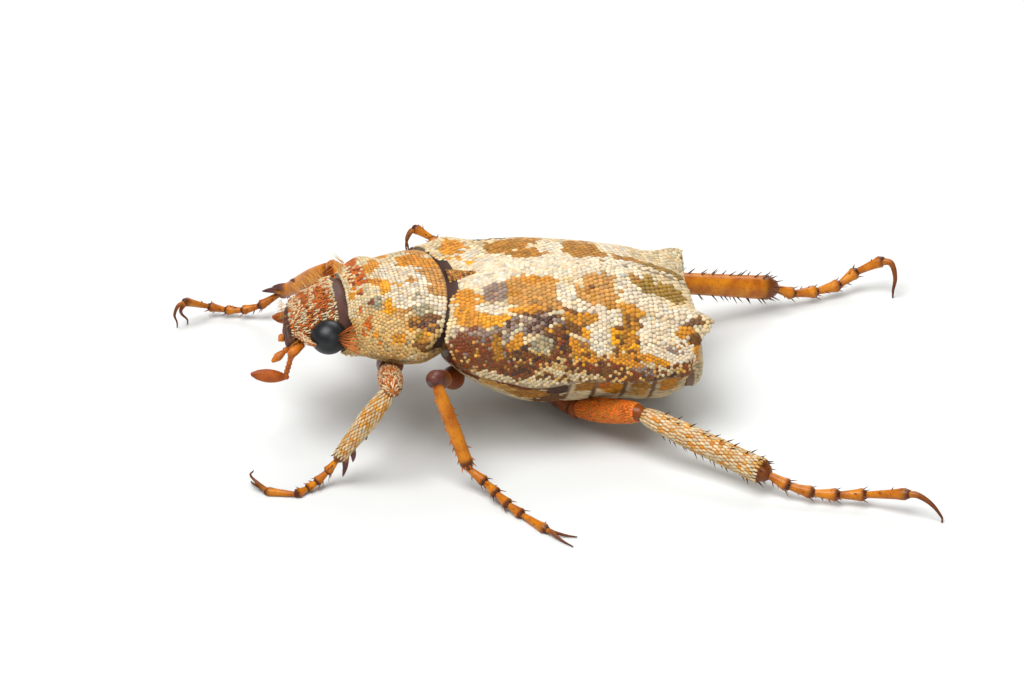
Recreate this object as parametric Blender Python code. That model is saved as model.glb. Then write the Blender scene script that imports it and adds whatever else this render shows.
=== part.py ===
# A scaly hoplia beetle as a still, life-size model, standing on its six feet.
# The head points along -Y, the beetle's left side along +X, and the floor is z = 0.
# Sizes below are in millimetres, and MM turns them into metres when a mesh is made.

import math
import random
from bisect import bisect_right

import bmesh
import bpy
import numpy as np

MM = 0.001

# The whole model is moved by this much, so that its box is centred on the origin.
CENTRE_SHIFT = (0.39, -1.91)

SEAM_GAP = 0.25          # between the hard plates of the body
JOINT_GAP = 0.14         # between the pieces of a leg, which are only 0.4 to 0.8 thick

# Profiles along the body: (y, value), joined by a smooth curve.
PRONOTUM_TOP = (
    (-5.0, 4.88), (-4.6, 4.97), (-4.2, 5.06), (-3.6, 4.93),
    (-3.0, 4.97), (-2.3, 4.85), (-1.6, 4.66),
)
PRONOTUM_HALF_WIDTH = ((-5.1, 1.76), (-4.4, 2.2), (-3.6, 2.55), (-3.0, 2.7), (-2.4, 2.63), (-1.7, 2.42))
PRONOTUM_MARGIN = (
    (-5.3, 3.2), (-4.9, 3.26), (-4.4, 3.34), (-3.6, 3.28),
    (-3.1, 3.32), (-2.6, 3.52), (-1.7, 3.78),
)
PRONOTUM_FRONT = -4.95
PRONOTUM_FRONT_CURVE = 0.1
PRONOTUM_BACK = -1.95
PRONOTUM_BACK_CURVE = 0.068
PRONOTUM_HIND_CORNER = 0.4
PRONOTUM_SIDE_TUCK = 0.22
PRONOTUM_SIDE_DROP = 0.32
PRONOTUM_CORNER_REACH = 0.26
PRONOTUM_CORNER_WIDTH = 0.35
PRONOTUM_BULGE = 0.96

ELYTRA_TOP = ((-2.0, 4.62), (0.2, 4.78), (2.2, 4.72), (4.0, 4.31), (5.0, 3.86), (5.6, 3.5))
ELYTRA_HALF_WIDTH = (
    (-2.4, 2.86), (-1.0, 3.22), (0.6, 3.42), (2.4, 3.48),
    (4.0, 3.42), (5.0, 3.02), (5.6, 2.3),
)
ELYTRA_MARGIN = (
    (-2.4, 3.38), (-1.0, 2.8), (0.1, 2.5), (1.6, 2.56),
    (3.6, 2.38), (4.8, 2.42), (5.6, 2.9),
)
ELYTRON_CORNER = 0.75    # beyond this share of the way down its flank, the front edge is cut back
ELYTRON_CORNER_CUT = 5.0
ELYTRA_BACK = 5.48
ELYTRA_BACK_CURVE = 0.05
ELYTRA_BULGE = ((-2.4, 0.5), (-1.2, 0.56), (0.6, 0.74), (2.4, 0.96), (5.6, 1.0))
SCUTELLUM_BASE = -1.92
SCUTELLUM_TIP = -0.95
SCUTELLUM_HALF_WIDTH = 0.46

# Swellings of an elytron: (x, y, radius, height outwards, reach backwards).
ELYTRON_BUMPS = (
    (2.75, -1.5, 0.55, 0.18, 0.0),    # shoulder
    (2.0, 5.25, 0.42, 0.3, 0.5),      # large tubercle at the tip
    (3.15, 4.7, 0.3, 0.16, 0.08),     # small tubercle on the flank
    (1.1, 4.3, 0.7, -0.1, 0.0),       # hollow before the tip
    (1.5, -0.6, 0.9, -0.06, 0.0),     # hollow behind the pronotum
)
PRONOTUM_BUMPS = (
    (1.65, -3.85, 0.34, -0.09, 0.0),
    (2.2, -2.85, 0.36, -0.07, 0.0),
    (1.3, -4.35, 0.5, 0.07, 0.0),
    (1.3, -2.9, 0.5, 0.05, 0.0),
    (0.0, -3.6, 0.5, -0.04, 0.0),
)

BELLY_BOTTOM = (
    (-2.2, 2.2), (-1.3, 1.62), (-0.6, 1.18), (0.4, 0.78),
    (1.4, 0.62), (3.0, 0.56), (4.2, 0.54), (5.2, 0.82),
)
BELLY_HALF_WIDTH = (
    (-2.2, 2.35), (-1.0, 2.85), (0.6, 3.16), (2.4, 3.24),
    (4.0, 3.14), (4.8, 2.82), (5.6, 2.2),
)
BELLY_KEEL = ((-2.2, 3.0), (0.4, 2.9), (1.4, 2.5), (3.2, 2.6), (4.4, 3.4), (5.2, 3.8))
THORAX_SPAN = (-2.02, 1.1)
ABDOMEN_SPAN = (1.35, 4.92)
PYGIDIUM_SPAN = (5.16, 5.76)
PYGIDIUM_HALF_WIDTH = 2.4
PYGIDIUM_TOP = 2.5
PYGIDIUM_BOTTOM = 0.85
STERNITE_ENDS = (2.0, 2.9, 3.8, 4.6)
STERNITE_STEP = 0.05
PROSTERNUM_SPAN = (-4.62, -2.3)
PROSTERNUM_BOTTOM = 2.55

HEAD_BACK = -5.17
HEAD_TOP = ((-6.8, 3.87), (-6.3, 4.3), (-5.8, 4.58), (-5.4, 4.72), (-5.1, 4.68))
HEAD_HALF_WIDTH = ((-6.8, 0.92), (-6.5, 1.08), (-6.1, 1.2), (-5.7, 1.34), (-5.1, 1.3))
HEAD_BOTTOM = ((-6.8, 3.72), (-6.45, 3.42), (-6.0, 3.14), (-5.6, 3.05), (-5.1, 3.1))
CLYPEUS_FRONT = -6.62
CLYPEUS_LENGTH = 0.22
CLYPEUS_HALF_WIDTH = 1.04
CLYPEUS_THICKNESS = 0.45
HEAD_TURN = 0.2          # the head is turned a little to the beetle's right
HEAD_CURVE = 0.14        # how far the ends of its front edge lie behind the middle
EYE_CENTRES = {"eye_left": (1.36, -5.69, 3.76), "eye_right": (-1.3, -5.64, 3.5)}
EYE_RADIUS = 0.52
EYE_GAP = 0.12

# Where each feeler starts, bends and ends: root, end of the scape, foot of the club, tip of the club.
ANTENNAE = {
    "antenna_left": ((1.12, -6.42, 3.42), (1.28, -6.76, 3.3), (1.37, -6.99, 2.54), (1.4, -7.98, 2.76)),
    "antenna_right": ((-1.12, -6.42, 3.42), (-1.5, -6.4, 3.12), (-1.72, -6.0, 2.72), (-1.42, -6.88, 3.0)),
}
ANTENNA_THICKNESS = 0.11
CLUB_THICKNESS = 0.2
PALP_TIPS = ((0.5, -7.22, 2.62), (-0.5, -6.86, 2.74))

# The joints of each leg, from its root to the last segment of the foot, in body coordinates.
LEGS = {
    "front_left": {
        "coxa": (0.62, -3.7, 2.28), "hip": (1.3, -3.88, 2.46), "knee": (3.75, -4.22, 3.2),
        "ankle": (3.58, -5.86, 0.84),
        "foot": ((3.56, -6.13, 0.48), (3.73, -6.49, 0.26), (3.85, -6.78, 0.15), (4.03, -7.14, 0.1),
                 (3.7, -8.0, 0.1)),
        "claws": (((3.45, -8.2, 0.16), (3.17, -8.32, 0.12), (3.02, -8.33, 0.08)),
                  ((3.55, -8.22, 0.34), (3.28, -8.38, 0.46), (3.1, -8.26, 0.48))),
    },
    "front_right": {
        "coxa": (-0.62, -3.7, 2.28), "hip": (-1.3, -3.88, 2.46), "knee": (-4.1, -4.64, 3.0),
        "ankle": (-6.42, -5.92, 0.92),
        "foot": ((-6.52, -6.55, 0.5), (-6.71, -7.05, 0.3), (-6.91, -7.54, 0.25), (-6.99, -8.05, 0.38),
                 (-6.55, -8.88, 0.9)),
        "claws": (((-6.42, -9.08, 0.84), (-6.46, -9.2, 0.5), (-6.52, -9.12, 0.2), (-6.52, -9.12, 0.0)),
                  ((-6.56, -8.98, 0.62), (-6.66, -8.95, 0.4), (-6.66, -8.78, 0.18), (-6.66, -8.78, 0.0))),
    },
    "middle_left": {
        "coxa": (1.0, -1.8, 1.76), "hip": (1.6, -2.18, 2.06), "knee": (3.85, -2.96, 3.44),
        "ankle": (4.56, -2.08, 0.7),
        "foot": ((5.01, -1.68, 0.47), (5.54, -1.43, 0.36), (6.01, -1.18, 0.24), (6.44, -0.86, 0.11),
                 (7.42, -0.31, 0.11)),
        "claws": (((7.62, -0.14, 0.14), (7.75, 0.2, 0.07), (7.84, 0.5, 0.03)),
                  ((7.68, -0.18, 0.14), (8.0, 0.02, 0.07), (8.34, 0.28, 0.03))),
    },
    "middle_right": {
        "coxa": (-1.1, -1.5, 1.62), "hip": (-1.65, -1.7, 1.98), "knee": (-4.4, -2.1, 3.05),
        "ankle": (-7.05, -1.05, 1.02),
        "foot": ((-7.65, -0.8, 0.72), (-8.25, -0.6, 0.58), (-8.8, -0.5, 0.52), (-9.36, -0.6, 0.68),
                 (-9.64, -1.14, 0.98)),
        "claws": (((-9.7, -1.26, 0.85), (-9.8, -1.37, 0.5), (-9.84, -1.31, 0.2), (-9.84, -1.31, 0.0)),
                  ((-9.5, -1.28, 0.9), (-9.38, -1.45, 0.6), (-9.28, -1.46, 0.35))),
    },
    "hind_left": {
        "coxa": (0.7, 1.35, 0.88), "hip": (1.75, 1.62, 0.72), "knee": (3.66, 3.22, 1.5),
        "ankle": (6.5, 6.46, 0.7),
        "foot": ((6.91, 7.02, 0.46), (7.27, 7.67, 0.36), (7.49, 8.38, 0.34), (7.72, 9.13, 0.4),
                 (8.47, 10.28, 0.74)),
        "claws": (((8.62, 10.48, 0.76), (8.86, 10.85, 0.55), (9.04, 11.13, 0.16), (9.04, 11.13, 0.0)),),
    },
    "hind_right": {
        "coxa": (-0.7, 1.35, 0.92), "hip": (-1.75, 1.66, 0.98), "knee": (-3.12, 4.55, 2.08),
        "ankle": (-4.12, 9.12, 0.78),
        "foot": ((-4.2, 9.76, 0.46), (-4.4, 10.54, 0.34), (-4.57, 11.31, 0.4), (-4.75, 11.89, 0.7),
                 (-4.58, 12.7, 1.12)),
        "claws": (((-4.4, 12.9, 1.1), (-4.2, 13.0, 0.7), (-4.14, 12.93, 0.25), (-4.14, 12.93, 0.0)),),
    },
}

# Half-thickness of each part of a leg.
LEG_SIZES = {
    "front": {"coxa": 0.42, "femur": 0.37, "tibia": 0.29, "tibia_end": 0.24, "foot": 0.15, "claw": 0.12},
    "middle": {"coxa": 0.38, "femur": 0.3, "tibia": 0.22, "tibia_end": 0.23, "foot": 0.17, "claw": 0.12},
    "hind": {"coxa": 0.46, "femur": 0.37, "tibia": 0.34, "tibia_end": 0.38, "foot": 0.19, "claw": 0.16},
}
FOOT_JOINTS = 5
CLAW_TIP = 0.35          # thickness of a claw's tip beside its root
COXA_PROFILE = ((0.0, 0.75), (0.3, 1.0), (0.75, 0.95), (1.0, 0.6))
FEMUR_PROFILE = ((0.0, 0.6), (0.12, 0.82), (0.4, 1.0), (0.75, 0.94), (0.93, 0.8), (1.0, 0.55))
KNEE_REACH = 0.1

# The three teeth on the outer edge of a front tibia: place along it, reach outwards and onwards, thickness.
FRONT_TEETH = ((0.6, 0.05, 0.08, 0.12), (0.86, 0.14, 0.22, 0.15), (0.98, 0.17, 0.48, 0.15))
TOOTH_DIRECTIONS = {"front_left": (0.1, 0.62, -0.62), "front_right": (0.02, -0.86, 0.5)}

# Rows of spines on a tibia: angle round it, count, stretch along it, length, lean, thickness.
TIBIA_ROWS = {
    "front": (),
    "middle": (
        {"side": 75, "count": 4, "span": (0.2, 0.95), "length": 0.24, "lean": 0.7, "thick": 0.075},
        {"side": -110, "count": 4, "span": (0.15, 0.95), "length": 0.24, "lean": 0.7, "thick": 0.075},
    ),
    "hind": (
        {"side": 70, "count": 6, "span": (0.14, 0.96), "length": 0.36, "lean": 0.75, "thick": 0.085},
        {"side": -75, "count": 6, "span": (0.12, 0.9), "length": 0.4, "lean": 0.45, "thick": 0.09},
        {"side": -120, "count": 4, "span": (0.2, 0.94), "length": 0.34, "lean": 0.6, "thick": 0.085},
    ),
}
# The ring of spines at the end of a tibia.
TIBIA_CROWNS = {
    "front": None,
    "middle": {"count": 4, "at": 0.95, "length": 0.22, "thick": 0.075},
    "hind": {"count": 7, "at": 0.95, "length": 0.32, "thick": 0.09},
}
SPINE_SEED = 11

# Spurs at the end of each segment of a foot.
FOOT_SPURS = {
    "front": {"count": 2, "length": 0.12, "thick": 0.06},
    "middle": {"count": 3, "length": 0.2, "thick": 0.065},
    "hind": {"count": 3, "length": 0.22, "thick": 0.07},
}

SHELL_COLOUR = (0.55, 0.4, 0.2)
SCALE_CREAM = (0.72, 0.62, 0.42)
AMBER = (0.62, 0.26, 0.05)
RUST = (0.5, 0.15, 0.03)
DARK_HORN = (0.09, 0.04, 0.03)
EYE_BLACK = (0.01, 0.012, 0.015)


def smooth_curve(knots):
    """A smooth curve through (position, value) pairs, straight-ended."""
    places = [k[0] for k in knots]
    values = [k[1] for k in knots]
    slopes = []
    for i in range(len(knots)):
        before = max(i - 1, 0)
        after = min(i + 1, len(knots) - 1)
        slopes.append((values[after] - values[before]) / (places[after] - places[before]))

    def value_at(place):
        place = min(max(place, places[0]), places[-1])
        i = min(max(bisect_right(places, place) - 1, 0), len(places) - 2)
        span = places[i + 1] - places[i]
        t = (place - places[i]) / span
        return ((2 * t**3 - 3 * t**2 + 1) * values[i] + (t**3 - 2 * t**2 + t) * span * slopes[i]
                + (3 * t**2 - 2 * t**3) * values[i + 1] + (t**3 - t**2) * span * slopes[i + 1])

    return value_at


pronotum_top = smooth_curve(PRONOTUM_TOP)
pronotum_half_width = smooth_curve(PRONOTUM_HALF_WIDTH)
pronotum_margin = smooth_curve(PRONOTUM_MARGIN)
elytra_top = smooth_curve(ELYTRA_TOP)
elytra_half_width = smooth_curve(ELYTRA_HALF_WIDTH)
elytra_margin = smooth_curve(ELYTRA_MARGIN)
elytra_bulge = smooth_curve(ELYTRA_BULGE)
belly_bottom = smooth_curve(BELLY_BOTTOM)
belly_half_width = smooth_curve(BELLY_HALF_WIDTH)
belly_keel = smooth_curve(BELLY_KEEL)
head_top = smooth_curve(HEAD_TOP)
head_half_width = smooth_curve(HEAD_HALF_WIDTH)
head_bottom = smooth_curve(HEAD_BOTTOM)


def make_material(name, colour, roughness):
    material = bpy.data.materials.new(name)
    material.use_nodes = True
    shader = material.node_tree.nodes["Principled BSDF"]
    shader.inputs["Base Color"].default_value = (*colour, 1.0)
    shader.inputs["Roughness"].default_value = roughness
    shader.inputs["Metallic"].default_value = 0.0
    return material


def closed_loft(rings):
    """Vertices and triangles of a closed body through rings of equally many points."""
    rings = [np.asarray(ring, float) for ring in rings]
    count = len(rings[0])
    points = [point for ring in rings for point in ring]
    faces = []
    for r in range(len(rings) - 1):
        for i in range(count):
            a = r * count + i
            b = r * count + (i + 1) % count
            faces.append((a, b, b + count))
            faces.append((a, b + count, a + count))
    first_cap = len(points)
    points.append(rings[0].mean(axis=0))
    last_cap = len(points)
    points.append(rings[-1].mean(axis=0))
    last = (len(rings) - 1) * count
    for i in range(count):
        j = (i + 1) % count
        faces.append((first_cap, j, i))
        faces.append((last_cap, last + i, last + j))
    return points, faces


def tube(path, radii, sides=8, flatness=1.0, up=(0.0, 0.0, 1.0)):
    """A closed tube along a path, wider across than along the up direction by 1 / flatness."""
    path = np.asarray(path, float)
    rings = []
    for i, centre in enumerate(path):
        ahead = path[min(i + 1, len(path) - 1)] - path[max(i - 1, 0)]
        ahead = ahead / np.linalg.norm(ahead)
        across = np.cross(up, ahead)
        across = across / np.linalg.norm(across)
        above = np.cross(ahead, across)
        ring = []
        for k in range(sides):
            turn = 2 * math.pi * (k + 0.5) / sides
            ring.append(centre + radii[i] * (math.cos(turn) * across + flatness * math.sin(turn) * above))
        rings.append(ring)
    return closed_loft(rings)


def ball(centre, radii, rows=8, sides=12):
    """A closed round body with its poles along Z."""
    rings = []
    for row in range(1, rows):
        lean = math.pi * row / rows
        rings.append([(centre[0] + radii[0] * math.sin(lean) * math.cos(2 * math.pi * k / sides),
                       centre[1] + radii[1] * math.sin(lean) * math.sin(2 * math.pi * k / sides),
                       centre[2] - radii[2] * math.cos(lean)) for k in range(sides)])
    points, faces = closed_loft(rings)
    points[-2] = (centre[0], centre[1], centre[2] - radii[2])
    points[-1] = (centre[0], centre[1], centre[2] + radii[2])
    return points, faces


def between(start, end, part):
    return tuple(s + (e - s) * part for s, e in zip(start, end))


def limb_frame(start, end):
    """Unit directions along a straight piece, level across it, and square to both."""
    along = np.asarray(end, float) - np.asarray(start, float)
    along = along / np.linalg.norm(along)
    across = np.cross(steep_up(start, end), along)
    across = across / np.linalg.norm(across)
    return along, across, np.cross(along, across)


def cone(root, tip, radius, sides=5):
    """A spine with a small blunt tip."""
    return tube((root, tip), (radius, radius * 0.12), sides, up=steep_up(root, tip))


def steep_up(start, end):
    along = np.asarray(end, float) - np.asarray(start, float)
    along = along / np.linalg.norm(along)
    return (0.0, 0.0, 1.0) if abs(along[2]) < 0.9 else (0.0, 1.0, 0.0)


def level_side(start, end):
    """The level direction square to a piece, for one that bends in an upright plane."""
    side = np.array((start[1] - end[1], end[0] - start[0], 0.0))
    return tuple(side / np.linalg.norm(side))


def mesh_object(name, shape, parent, material=None):
    points, faces = shape
    mesh = bpy.data.meshes.new(name)
    mesh.from_pydata([tuple(float(c) * MM for c in p) for p in points], [], faces)
    mesh.validate()
    piece = bpy.data.objects.new(name, mesh)
    bpy.context.scene.collection.objects.link(piece)
    piece.parent = parent
    face_outwards(mesh)
    if material:
        mesh.materials.append(material)
        mesh.shade_smooth()
        mesh.set_sharp_from_angle(angle=math.radians(40))
    return piece


def face_outwards(mesh):
    work = bmesh.new()
    work.from_mesh(mesh)
    bmesh.ops.recalc_face_normals(work, faces=work.faces)
    work.to_mesh(mesh)
    work.free()


def keep_largest(mesh):
    """Keep only the closed surface with the largest box, in triangles."""
    work = bmesh.new()
    work.from_mesh(mesh)
    bmesh.ops.triangulate(work, faces=work.faces)
    unseen = set(work.verts)
    shells = []
    while unseen:
        stack = [unseen.pop()]
        shell = set(stack)
        while stack:
            for edge in stack.pop().link_edges:
                for vert in edge.verts:
                    if vert in unseen:
                        unseen.remove(vert)
                        shell.add(vert)
                        stack.append(vert)
        shells.append(shell)
    shells.sort(key=shell_size, reverse=True)
    for shell in shells[1:]:
        bmesh.ops.delete(work, geom=list(shell), context="VERTS")
    work.to_mesh(mesh)
    work.free()


def shell_size(shell):
    places = np.array([vert.co[:] for vert in shell])
    return float(np.linalg.norm(places.max(axis=0) - places.min(axis=0)))


def joined(name, base, extras, parent, material, cutters=()):
    """One closed body: the base with the extras fused on and the cutters taken away."""
    piece = mesh_object(name, base, parent, material)
    helpers = []
    for operation, shapes in (("UNION", extras), ("DIFFERENCE", cutters)):
        if not shapes:
            continue
        group = bpy.data.collections.new(name + "_" + operation.lower())
        bpy.context.scene.collection.children.link(group)
        for i, shape in enumerate(shapes):
            helper = mesh_object(f"{name}_{operation.lower()}_{i}", shape, parent)
            bpy.context.scene.collection.objects.unlink(helper)
            group.objects.link(helper)
            helpers.append(helper)
        boolean = piece.modifiers.new(operation.title(), "BOOLEAN")
        boolean.operation = operation
        boolean.operand_type = "COLLECTION"
        boolean.collection = group
        boolean.solver = "EXACT"
        boolean.use_self = True
    bpy.context.view_layer.update()
    graph = bpy.context.evaluated_depsgraph_get()
    fused = bpy.data.meshes.new_from_object(piece.evaluated_get(graph))
    piece.modifiers.clear()
    piece.data = fused
    for helper in helpers:
        bpy.data.objects.remove(helper)
    keep_largest(fused)
    fused.shade_smooth()
    fused.set_sharp_from_angle(angle=math.radians(40))
    return piece


def mirrored(points):
    return [(-p[0], p[1], p[2]) for p in points]


def swell(x, y, bumps):
    """Height outwards and reach backwards of the swellings at a place on the back."""
    height = 0.0
    reach = 0.0
    for bump_x, bump_y, radius, tall, back in bumps:
        near = math.exp(-((x - bump_x)**2 + (y - bump_y)**2) / (radius * radius))
        height += tall * near
        reach += back * near
    return height, reach


def pronotum_back_edge(x):
    return PRONOTUM_BACK - PRONOTUM_BACK_CURVE * x * x


def make_pronotum(root, material):
    """The domed plate over the prothorax, with rounded sides and an uneven back."""
    rows = 11
    across = 26
    rings = []
    for row in range(rows):
        ring = []
        for k in range(across + 1):
            turn = math.pi * (k / across - 0.5)
            side = math.sin(turn)
            lean = abs(turn)
            spread = math.sin(lean)**PRONOTUM_BULGE
            front = PRONOTUM_FRONT - PRONOTUM_FRONT_CURVE * spread**2
            back = pronotum_back_edge(pronotum_half_width(PRONOTUM_BACK) * spread)
            back -= PRONOTUM_HIND_CORNER * (lean / (0.5 * math.pi))**6
            y = front + (back - front) * row / (rows - 1)
            edge_round = 1.0 - 0.07 * (abs(2 * row / (rows - 1) - 1.0))**6
            half = pronotum_half_width(y)
            low = pronotum_margin(y) + PRONOTUM_SIDE_DROP
            x = half * math.copysign(spread, side) * edge_round
            z = low + (pronotum_top(y) - low) * math.cos(lean)**PRONOTUM_BULGE * edge_round
            rise, _ = swell(abs(x), y, PRONOTUM_BUMPS)
            ring.append((x + rise * side, y, z + rise * math.cos(lean)))
        right, left = ring[0], ring[-1]
        tuck = PRONOTUM_SIDE_TUCK
        y = left[1]
        corner = y - PRONOTUM_CORNER_REACH * (1.0 - row / (rows - 1))**3
        floor = pronotum_margin(corner)
        ring.append((left[0] - 0.03, 0.5 * (y + corner), 0.5 * (left[2] + floor)))
        inside = left[0] - tuck - PRONOTUM_CORNER_WIDTH
        ring.append((left[0] - tuck, corner, floor))
        ring.append((inside, y, floor))
        ring.append((-inside, y, floor))
        ring.append((right[0] + tuck, corner, floor))
        ring.append((right[0] + 0.03, 0.5 * (y + corner), 0.5 * (right[2] + floor)))
        rings.append(ring)
    cutters = leg_room("front_left", "front_right")
    return joined("pronotum", closed_loft(rings), (), root, material, cutters)


def make_prosternum(root, material):
    rings = []
    for step in range(6):
        y = PROSTERNUM_SPAN[0] + (PROSTERNUM_SPAN[1] - PROSTERNUM_SPAN[0]) * step / 5
        top = pronotum_margin(y) - SEAM_GAP
        half = (pronotum_half_width(y) - 0.5) * (1.0 - 0.25 * abs(2 * step / 5 - 1)**3)
        ring = [(half * math.cos(turn), y, top - (top - PROSTERNUM_BOTTOM) * math.sin(turn))
                for turn in np.linspace(0.0, math.pi, 11)]
        rings.append(ring)
    cutters = leg_room("front_left", "front_right")
    return joined("prosternum", closed_loft(rings), (), root, material, cutters)


def elytron_front(x):
    """The front edge: round the scutellum, then along the back of the pronotum."""
    behind_pronotum = pronotum_back_edge(x) + SEAM_GAP
    notch = SCUTELLUM_TIP + SEAM_GAP
    notch -= (SCUTELLUM_TIP - SCUTELLUM_BASE) * x / (SCUTELLUM_HALF_WIDTH + SEAM_GAP)
    return max(behind_pronotum, notch)


def elytron_rings():
    """Rings of the left elytron from its front edge to its tip."""
    rows = 19
    across = 16
    inner = SEAM_GAP / 2
    rings = []
    for row in range(rows):
        ring = []
        for k in range(across + 1):
            lean = 0.5 * math.pi * k / across
            front_width = elytra_half_width(PRONOTUM_BACK)
            front_spread = math.sin(lean)**elytra_bulge(PRONOTUM_BACK)
            front = elytron_front(inner + (front_width - inner) * front_spread)
            front += ELYTRON_CORNER_CUT * max(lean / (0.5 * math.pi) - ELYTRON_CORNER, 0.0)**2
            back = ELYTRA_BACK - ELYTRA_BACK_CURVE * (elytra_half_width(ELYTRA_BACK) * math.sin(lean))**2
            y = front + (back - front) * row / (rows - 1)
            half = elytra_half_width(y)
            low = elytra_margin(y)
            bulge = elytra_bulge(y)
            x = inner + (half - inner) * math.sin(lean)**bulge
            z = low + (elytra_top(y) - low) * math.cos(lean)**bulge
            rise, reach = swell(x, y, ELYTRON_BUMPS)
            ring.append((x + rise * math.sin(lean), y + reach, z + rise * math.cos(lean)))
        foot = ring[-1]
        head = ring[0]
        under = elytra_margin(foot[1]) - 0.02
        ring.append((0.5 * foot[0], 0.5 * (foot[1] + head[1]), min(under, foot[2])))
        ring.append((head[0], head[1], min(elytra_margin(head[1]) - 0.02, head[2] - 0.4)))
        rings.append(ring)
    return rings


def make_elytra(root, material):
    points, faces = closed_loft(elytron_rings())
    left = mesh_object("elytron_left", (points, faces), root, material)
    right = mesh_object("elytron_right", (mirrored(points), faces), root, material)
    return left, right


def make_scutellum(root, material):
    """The small triangle between the roots of the elytra."""
    top = elytra_top(-1.2) + 0.03
    outline = ((-SCUTELLUM_HALF_WIDTH, SCUTELLUM_BASE + 0.22), (SCUTELLUM_HALF_WIDTH, SCUTELLUM_BASE + 0.22),
               (SCUTELLUM_HALF_WIDTH * 0.55, SCUTELLUM_BASE + 0.5), (0.04, SCUTELLUM_TIP),
               (-0.04, SCUTELLUM_TIP), (-SCUTELLUM_HALF_WIDTH * 0.55, SCUTELLUM_BASE + 0.5))
    rings = []
    for height, size in ((top - 0.7, 0.8), (top - 0.12, 1.0), (top, 0.86)):
        rings.append([(x * size, SCUTELLUM_BASE + 0.45 + (y - SCUTELLUM_BASE - 0.45) * size, height)
                      for x, y in outline])
    return mesh_object("scutellum", closed_loft(rings), root, material)


def belly_ring(y, shrink=1.0, step=0.0):
    """A cross-section of the underside, flat on top where the elytra lie over it."""
    top = elytra_margin(y) - 0.02 - SEAM_GAP
    half = belly_half_width(y) * shrink + step
    bottom = belly_bottom(y) + (1.0 - shrink) * 0.8 - step
    ring = []
    for turn in np.linspace(0.0, math.pi, 23):
        side = math.cos(turn)
        ring.append((half * side, y, bottom + (top - bottom) * abs(side)**belly_keel(y)))
    ring.append((-0.5 * half, y, top))
    ring.append((0.5 * half, y, top))
    return ring


def make_thorax(root, material):
    start, end = THORAX_SPAN
    rings = [belly_ring(start, 0.86)]
    for step in range(1, 8):
        rings.append(belly_ring(start + (end - start) * step / 8))
    rings.append(belly_ring(end))
    cutters = leg_room("middle_left", "middle_right", "hind_left", "hind_right")
    return joined("thorax", closed_loft(rings), (), root, material, cutters)


def make_abdomen(root, material):
    """The belly with its overlapping rings, each ending in a low step."""
    start, end = ABDOMEN_SPAN
    rings = []
    begin = start
    for finish in STERNITE_ENDS + (end,):
        rings.append(belly_ring(begin))
        rings.append(belly_ring(finish - 0.06, step=STERNITE_STEP))
        begin = finish
    rings.append(belly_ring(end))
    cutters = leg_room("hind_left", "hind_right")
    return joined("abdomen", closed_loft(rings), (), root, material, cutters)


def make_pygidium(root, material):
    """The shield that closes the tail below the tips of the elytra."""
    start, end = PYGIDIUM_SPAN
    rings = []
    for part, size in ((0.0, 1.0), (0.35, 0.95), (0.7, 0.8), (0.92, 0.55), (1.0, 0.25)):
        y = start + (end - start) * part
        half = PYGIDIUM_HALF_WIDTH * size
        top = PYGIDIUM_TOP - 0.4 * part
        bottom = PYGIDIUM_BOTTOM + (1.0 - size) * 1.1
        ring = []
        for turn in np.linspace(0.0, 2 * math.pi, 21)[:-1]:
            middle = 0.5 * (top + bottom)
            ring.append((half * math.cos(turn), y, middle - 0.5 * (top - bottom) * math.sin(turn)))
        rings.append(ring)
    return mesh_object("pygidium", closed_loft(rings), root, material)


def head_ring(y, grow=0.0):
    top = head_top(y) + grow
    bottom = head_bottom(y) - grow
    half = head_half_width(y) + grow
    middle = bottom + 0.45 * (top - bottom)
    ring = []
    for turn in np.linspace(0.0, 2 * math.pi, 25)[:-1]:
        side, rise = math.cos(turn), math.sin(turn)
        reach = (top - middle) if rise > 0 else (middle - bottom)
        x = half * math.copysign(abs(side)**0.95, side)
        z = middle + reach * math.copysign(abs(rise)**0.9, rise)
        ring.append((x, head_place(x, y), z))
    return ring


def head_place(x, y):
    """How far forward a point of the head lies once the head is turned on its neck."""
    share = min(max((HEAD_BACK - y) / (HEAD_BACK - CLYPEUS_FRONT), 0.0), 1.0)
    return y + share * (HEAD_CURVE * x * x - HEAD_TURN * x)


def make_head(root, material):
    front = CLYPEUS_FRONT + SEAM_GAP * 0.5
    places = np.linspace(front, HEAD_BACK, 9)
    rings = [head_ring(y) for y in places]
    socket = EYE_RADIUS + EYE_GAP
    sockets = [ball(centre, (socket, socket, socket), 12, 20) for centre in EYE_CENTRES.values()]
    return joined("head", closed_loft(rings), (), root, material, cutters=sockets)


def make_clypeus(root, material):
    """The plate over the mouth, with its front edge turned up."""
    back = CLYPEUS_FRONT - SEAM_GAP * 0.5 + 0.1
    rings = []
    for part, thin, grow in ((0.0, 0.0, 0.0), (0.45, 0.0, 0.0), (0.8, 0.0, 0.06), (1.0, 0.06, 0.03)):
        y = back - CLYPEUS_LENGTH * part
        half = CLYPEUS_HALF_WIDTH - 0.1 * part**2 + grow
        top = head_top(y) + grow
        bottom = head_top(y) - CLYPEUS_THICKNESS + thin
        ring = []
        for turn in np.linspace(0.0, 2 * math.pi, 21)[:-1]:
            side, rise = math.cos(turn), math.sin(turn)
            x = half * math.copysign(abs(side)**0.7, side)
            droop = 0.32 * (x / half)**2
            middle = 0.5 * (top + bottom)
            z = middle + 0.5 * (top - bottom) * math.copysign(abs(rise)**0.7, rise) - droop
            ring.append((x, head_place(x, y), z))
        rings.append(ring)
    return mesh_object("clypeus", closed_loft(rings), root, material)


def make_eyes(root, material):
    for name, centre in EYE_CENTRES.items():
        shape = ball(centre, (EYE_RADIUS, EYE_RADIUS, EYE_RADIUS * 1.02), 10, 16)
        mesh_object(name, shape, root, material)


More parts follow.
